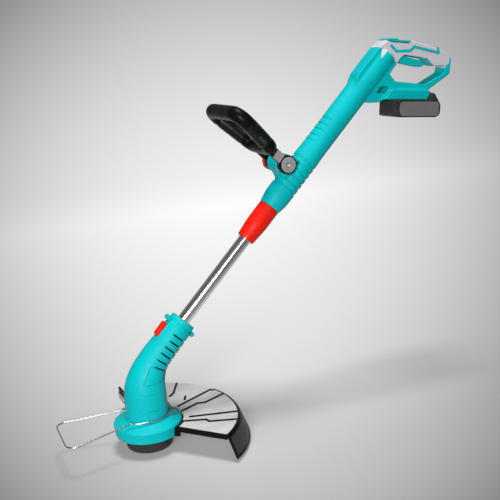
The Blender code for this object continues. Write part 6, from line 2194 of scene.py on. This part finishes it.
@dataclass
class Studio:
    """The floor, the backdrop, the lights and the camera."""

    camera_place: Vector = field(default_factory=lambda: Vector((-0.3500, -1.3765, 0.7287)))
    look: Vector = field(default_factory=lambda: Vector((0.3786, 0.8922, -0.2461)))
    image_right: Vector = field(default_factory=lambda: Vector((0.9123, -0.4046, -0.0630)))
    lens: float = 57.6
    sensor: float = 36.0
    clip: Point = (0.05, 50.0)
    # Painted light on the paper: floor_colour in the middle of the picture fading to a painted rim shade, and
    # emission that brightens it towards the back.
    floor_colour: tuple[float, float, float] = (0.66, 0.66, 0.66)
    painted_rim_shade_colour: tuple[float, float, float] = (0.19, 0.19, 0.19)
    painted_shade_rim_cosine: float = 0.912
    painted_glow: Point = (0.20, 1.30)
    painted_glow_span: Point = (-0.2, 3.0)
    floor_half: float = 6.0
    backdrop_height: float = 8.0
    backdrop_round: float = 3.0
    key_lamp: tuple[tuple[float, float, float], float, float] = ((-1.07, -1.92, 0.95), 0.9, 50.0)
    top_lamp: tuple[tuple[float, float, float], float, float] = ((0.2, -0.25, 4.5), 1.2, 120.0)
    aim: tuple[float, float, float] = (0.25, 0.0, 0.35)
    sky_colour: tuple[float, float, float] = (0.90, 0.91, 0.93)
    sky_strength: float = 0.12

    def camera(self) -> None:
        """Stand the camera where the photograph was taken from."""
        data = bpy.data.cameras.new("camera")
        data.lens = self.lens
        data.sensor_width = self.sensor
        data.clip_start, data.clip_end = self.clip
        made = bpy.data.objects.new("camera", data)
        forward = self.look.normalized()
        right = (self.image_right - forward * self.image_right.dot(forward)).normalized()
        up = right.cross(forward)
        axes = Matrix((right, up, -forward)).transposed().to_4x4()
        made.matrix_world = Matrix.Translation(self.camera_place) @ axes
        bpy.context.scene.collection.objects.link(made)
        bpy.context.scene.camera = made

    def floor(self) -> None:
        """Lay the pale floor, which runs up into the backdrop, with painted shade towards the rim of the
        picture and painted emission that brightens it towards the back.
        """
        bm = bmesh.new()
        size = self.floor_half
        bmesh.ops.create_grid(bm, x_segments=1, y_segments=1, size=size)
        far = [e for e in bm.edges if all(v.co.y > size / 2 for v in e.verts)]
        wall = bmesh.ops.extrude_edge_only(bm, edges=far)["geom"]
        bmesh.ops.translate(bm, vec=(0, 0, self.backdrop_height),
                            verts=[v for v in wall if isinstance(v, bmesh.types.BMVert)])
        bend = [e for e in bm.edges if all(v.co.y > size / 2 > v.co.z for v in e.verts)]
        bmesh.ops.bevel(bm, geom=bend, offset=self.backdrop_round, offset_type="OFFSET", affect="EDGES",
                        segments=24, profile=0.5, material=-1)
        sweep = object_from("backdrop", bm)
        bench = NodeBench("studio_paper_painted_light")
        here = bench.place()
        # Painted shade: the paper darkens from its own colour in the middle of the picture to a darker colour
        # at the rim.
        paper = bench.mixed(self.middle(bench, here), self.painted_rim_shade_colour, self.floor_colour)
        bench.feed("Base Color", paper)
        bench.feed("Emission Color", paper)
        bench.preset(Roughness=0.85, Specular_IOR_Level=0.1)
        # Painted light: the paper also emits, for camera, glossy and transmission rays only, more strongly
        # towards the back.
        apart = bench.node("SeparateXYZ")
        bench.link(here, apart.inputs["Vector"])
        painted_glow = bench.ranged(apart.outputs["Y"], *self.painted_glow, *self.painted_glow_span)
        path = bench.node("LightPath")
        seen = path.outputs["Is Camera Ray"]
        for ray in ("Is Glossy Ray", "Is Transmission Ray"):
            seen = bench.calculated("ADD", seen, path.outputs[ray])
        bench.feed("Emission Strength", bench.calculated("MULTIPLY", painted_glow, seen))
        sweep.data.materials.append(bench.material)
        sweep.data.shade_smooth()

    def middle(self, bench: NodeBench, here: bpy.types.NodeSocket) -> bpy.types.NodeSocket:
        """How near the paper lies to the middle of the picture, from 0 to 1, the mask of a painted pool of
        light that fades to painted shade at the rim.

        Args:
            bench: The paper's material.
            here: Its coordinates.

        Returns:
            The share's output.
        """
        away = bench.vector("SUBTRACT", here, self.camera_place)
        straight = bench.vector("NORMALIZE", away.outputs["Vector"])
        cosine = bench.vector("DOT_PRODUCT", straight.outputs["Vector"], self.look.normalized())
        return bench.ranged(cosine.outputs["Value"], 0.0, 1.0, self.painted_shade_rim_cosine, 1.0)

    def lamp(self, name: str, place: Sequence[float], size: float, power: float) -> None:
        """Hang one square soft light that looks at the tool.

        Args:
            name: The lamp's name.
            place: Where it hangs.
            size: The side of the square.
            power: Watts.
        """
        data = bpy.data.lights.new(name, "AREA")
        data.shape = "SQUARE"
        data.size = size
        data.energy = power
        made = bpy.data.objects.new(name, data)
        made.location = place
        aim = Vector(self.aim) - Vector(place)
        made.rotation_euler = aim.to_track_quat("-Z", "Y").to_euler()
        bpy.context.scene.collection.objects.link(made)

    def build(self) -> None:
        """Set the whole studio."""
        self.camera()
        self.floor()
        self.lamp("key", *self.key_lamp)
        self.lamp("top", *self.top_lamp)
        world = bpy.data.worlds.new("studio")
        world.use_nodes = True
        background = world.node_tree.nodes["Background"]
        background.inputs["Color"].default_value = (*self.sky_colour, 1.0)
        background.inputs["Strength"].default_value = self.sky_strength
        bpy.context.scene.world = world
        bpy.context.scene.view_settings.view_transform = "Standard"


def dress_hidden(nodes: dict[str, bpy.types.Object]) -> None:
    """Give the frame's own inner nodes their finishes.

    Args:
        nodes: The frame's nodes by name.
    """
    for name, finish in HIDDEN_NODES.items():
        mesh = nodes[name].data
        mesh.materials.clear()
        mesh.materials.append(finish.made())
        LOG.info("%s keeps its solid", name)


def main() -> None:
    """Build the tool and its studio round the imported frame."""
    logging.basicConfig(level=logging.INFO, format="%(message)s")
    for old in list(bpy.data.objects):
        bpy.data.objects.remove(old)
    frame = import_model()
    dress_hidden(frame["nodes"])
    Studio().build()
    for assembly in (MotorHead(), LineSpool(), DebrisGuard(), PlantGuard(), Telescope(), RearHousing(),
                     HandleControls(), BatteryPack(), FrontHandle()):
        LOG.info("building %s", type(assembly).__name__)
        assembly.build()


if __name__ == "__main__":
    main()
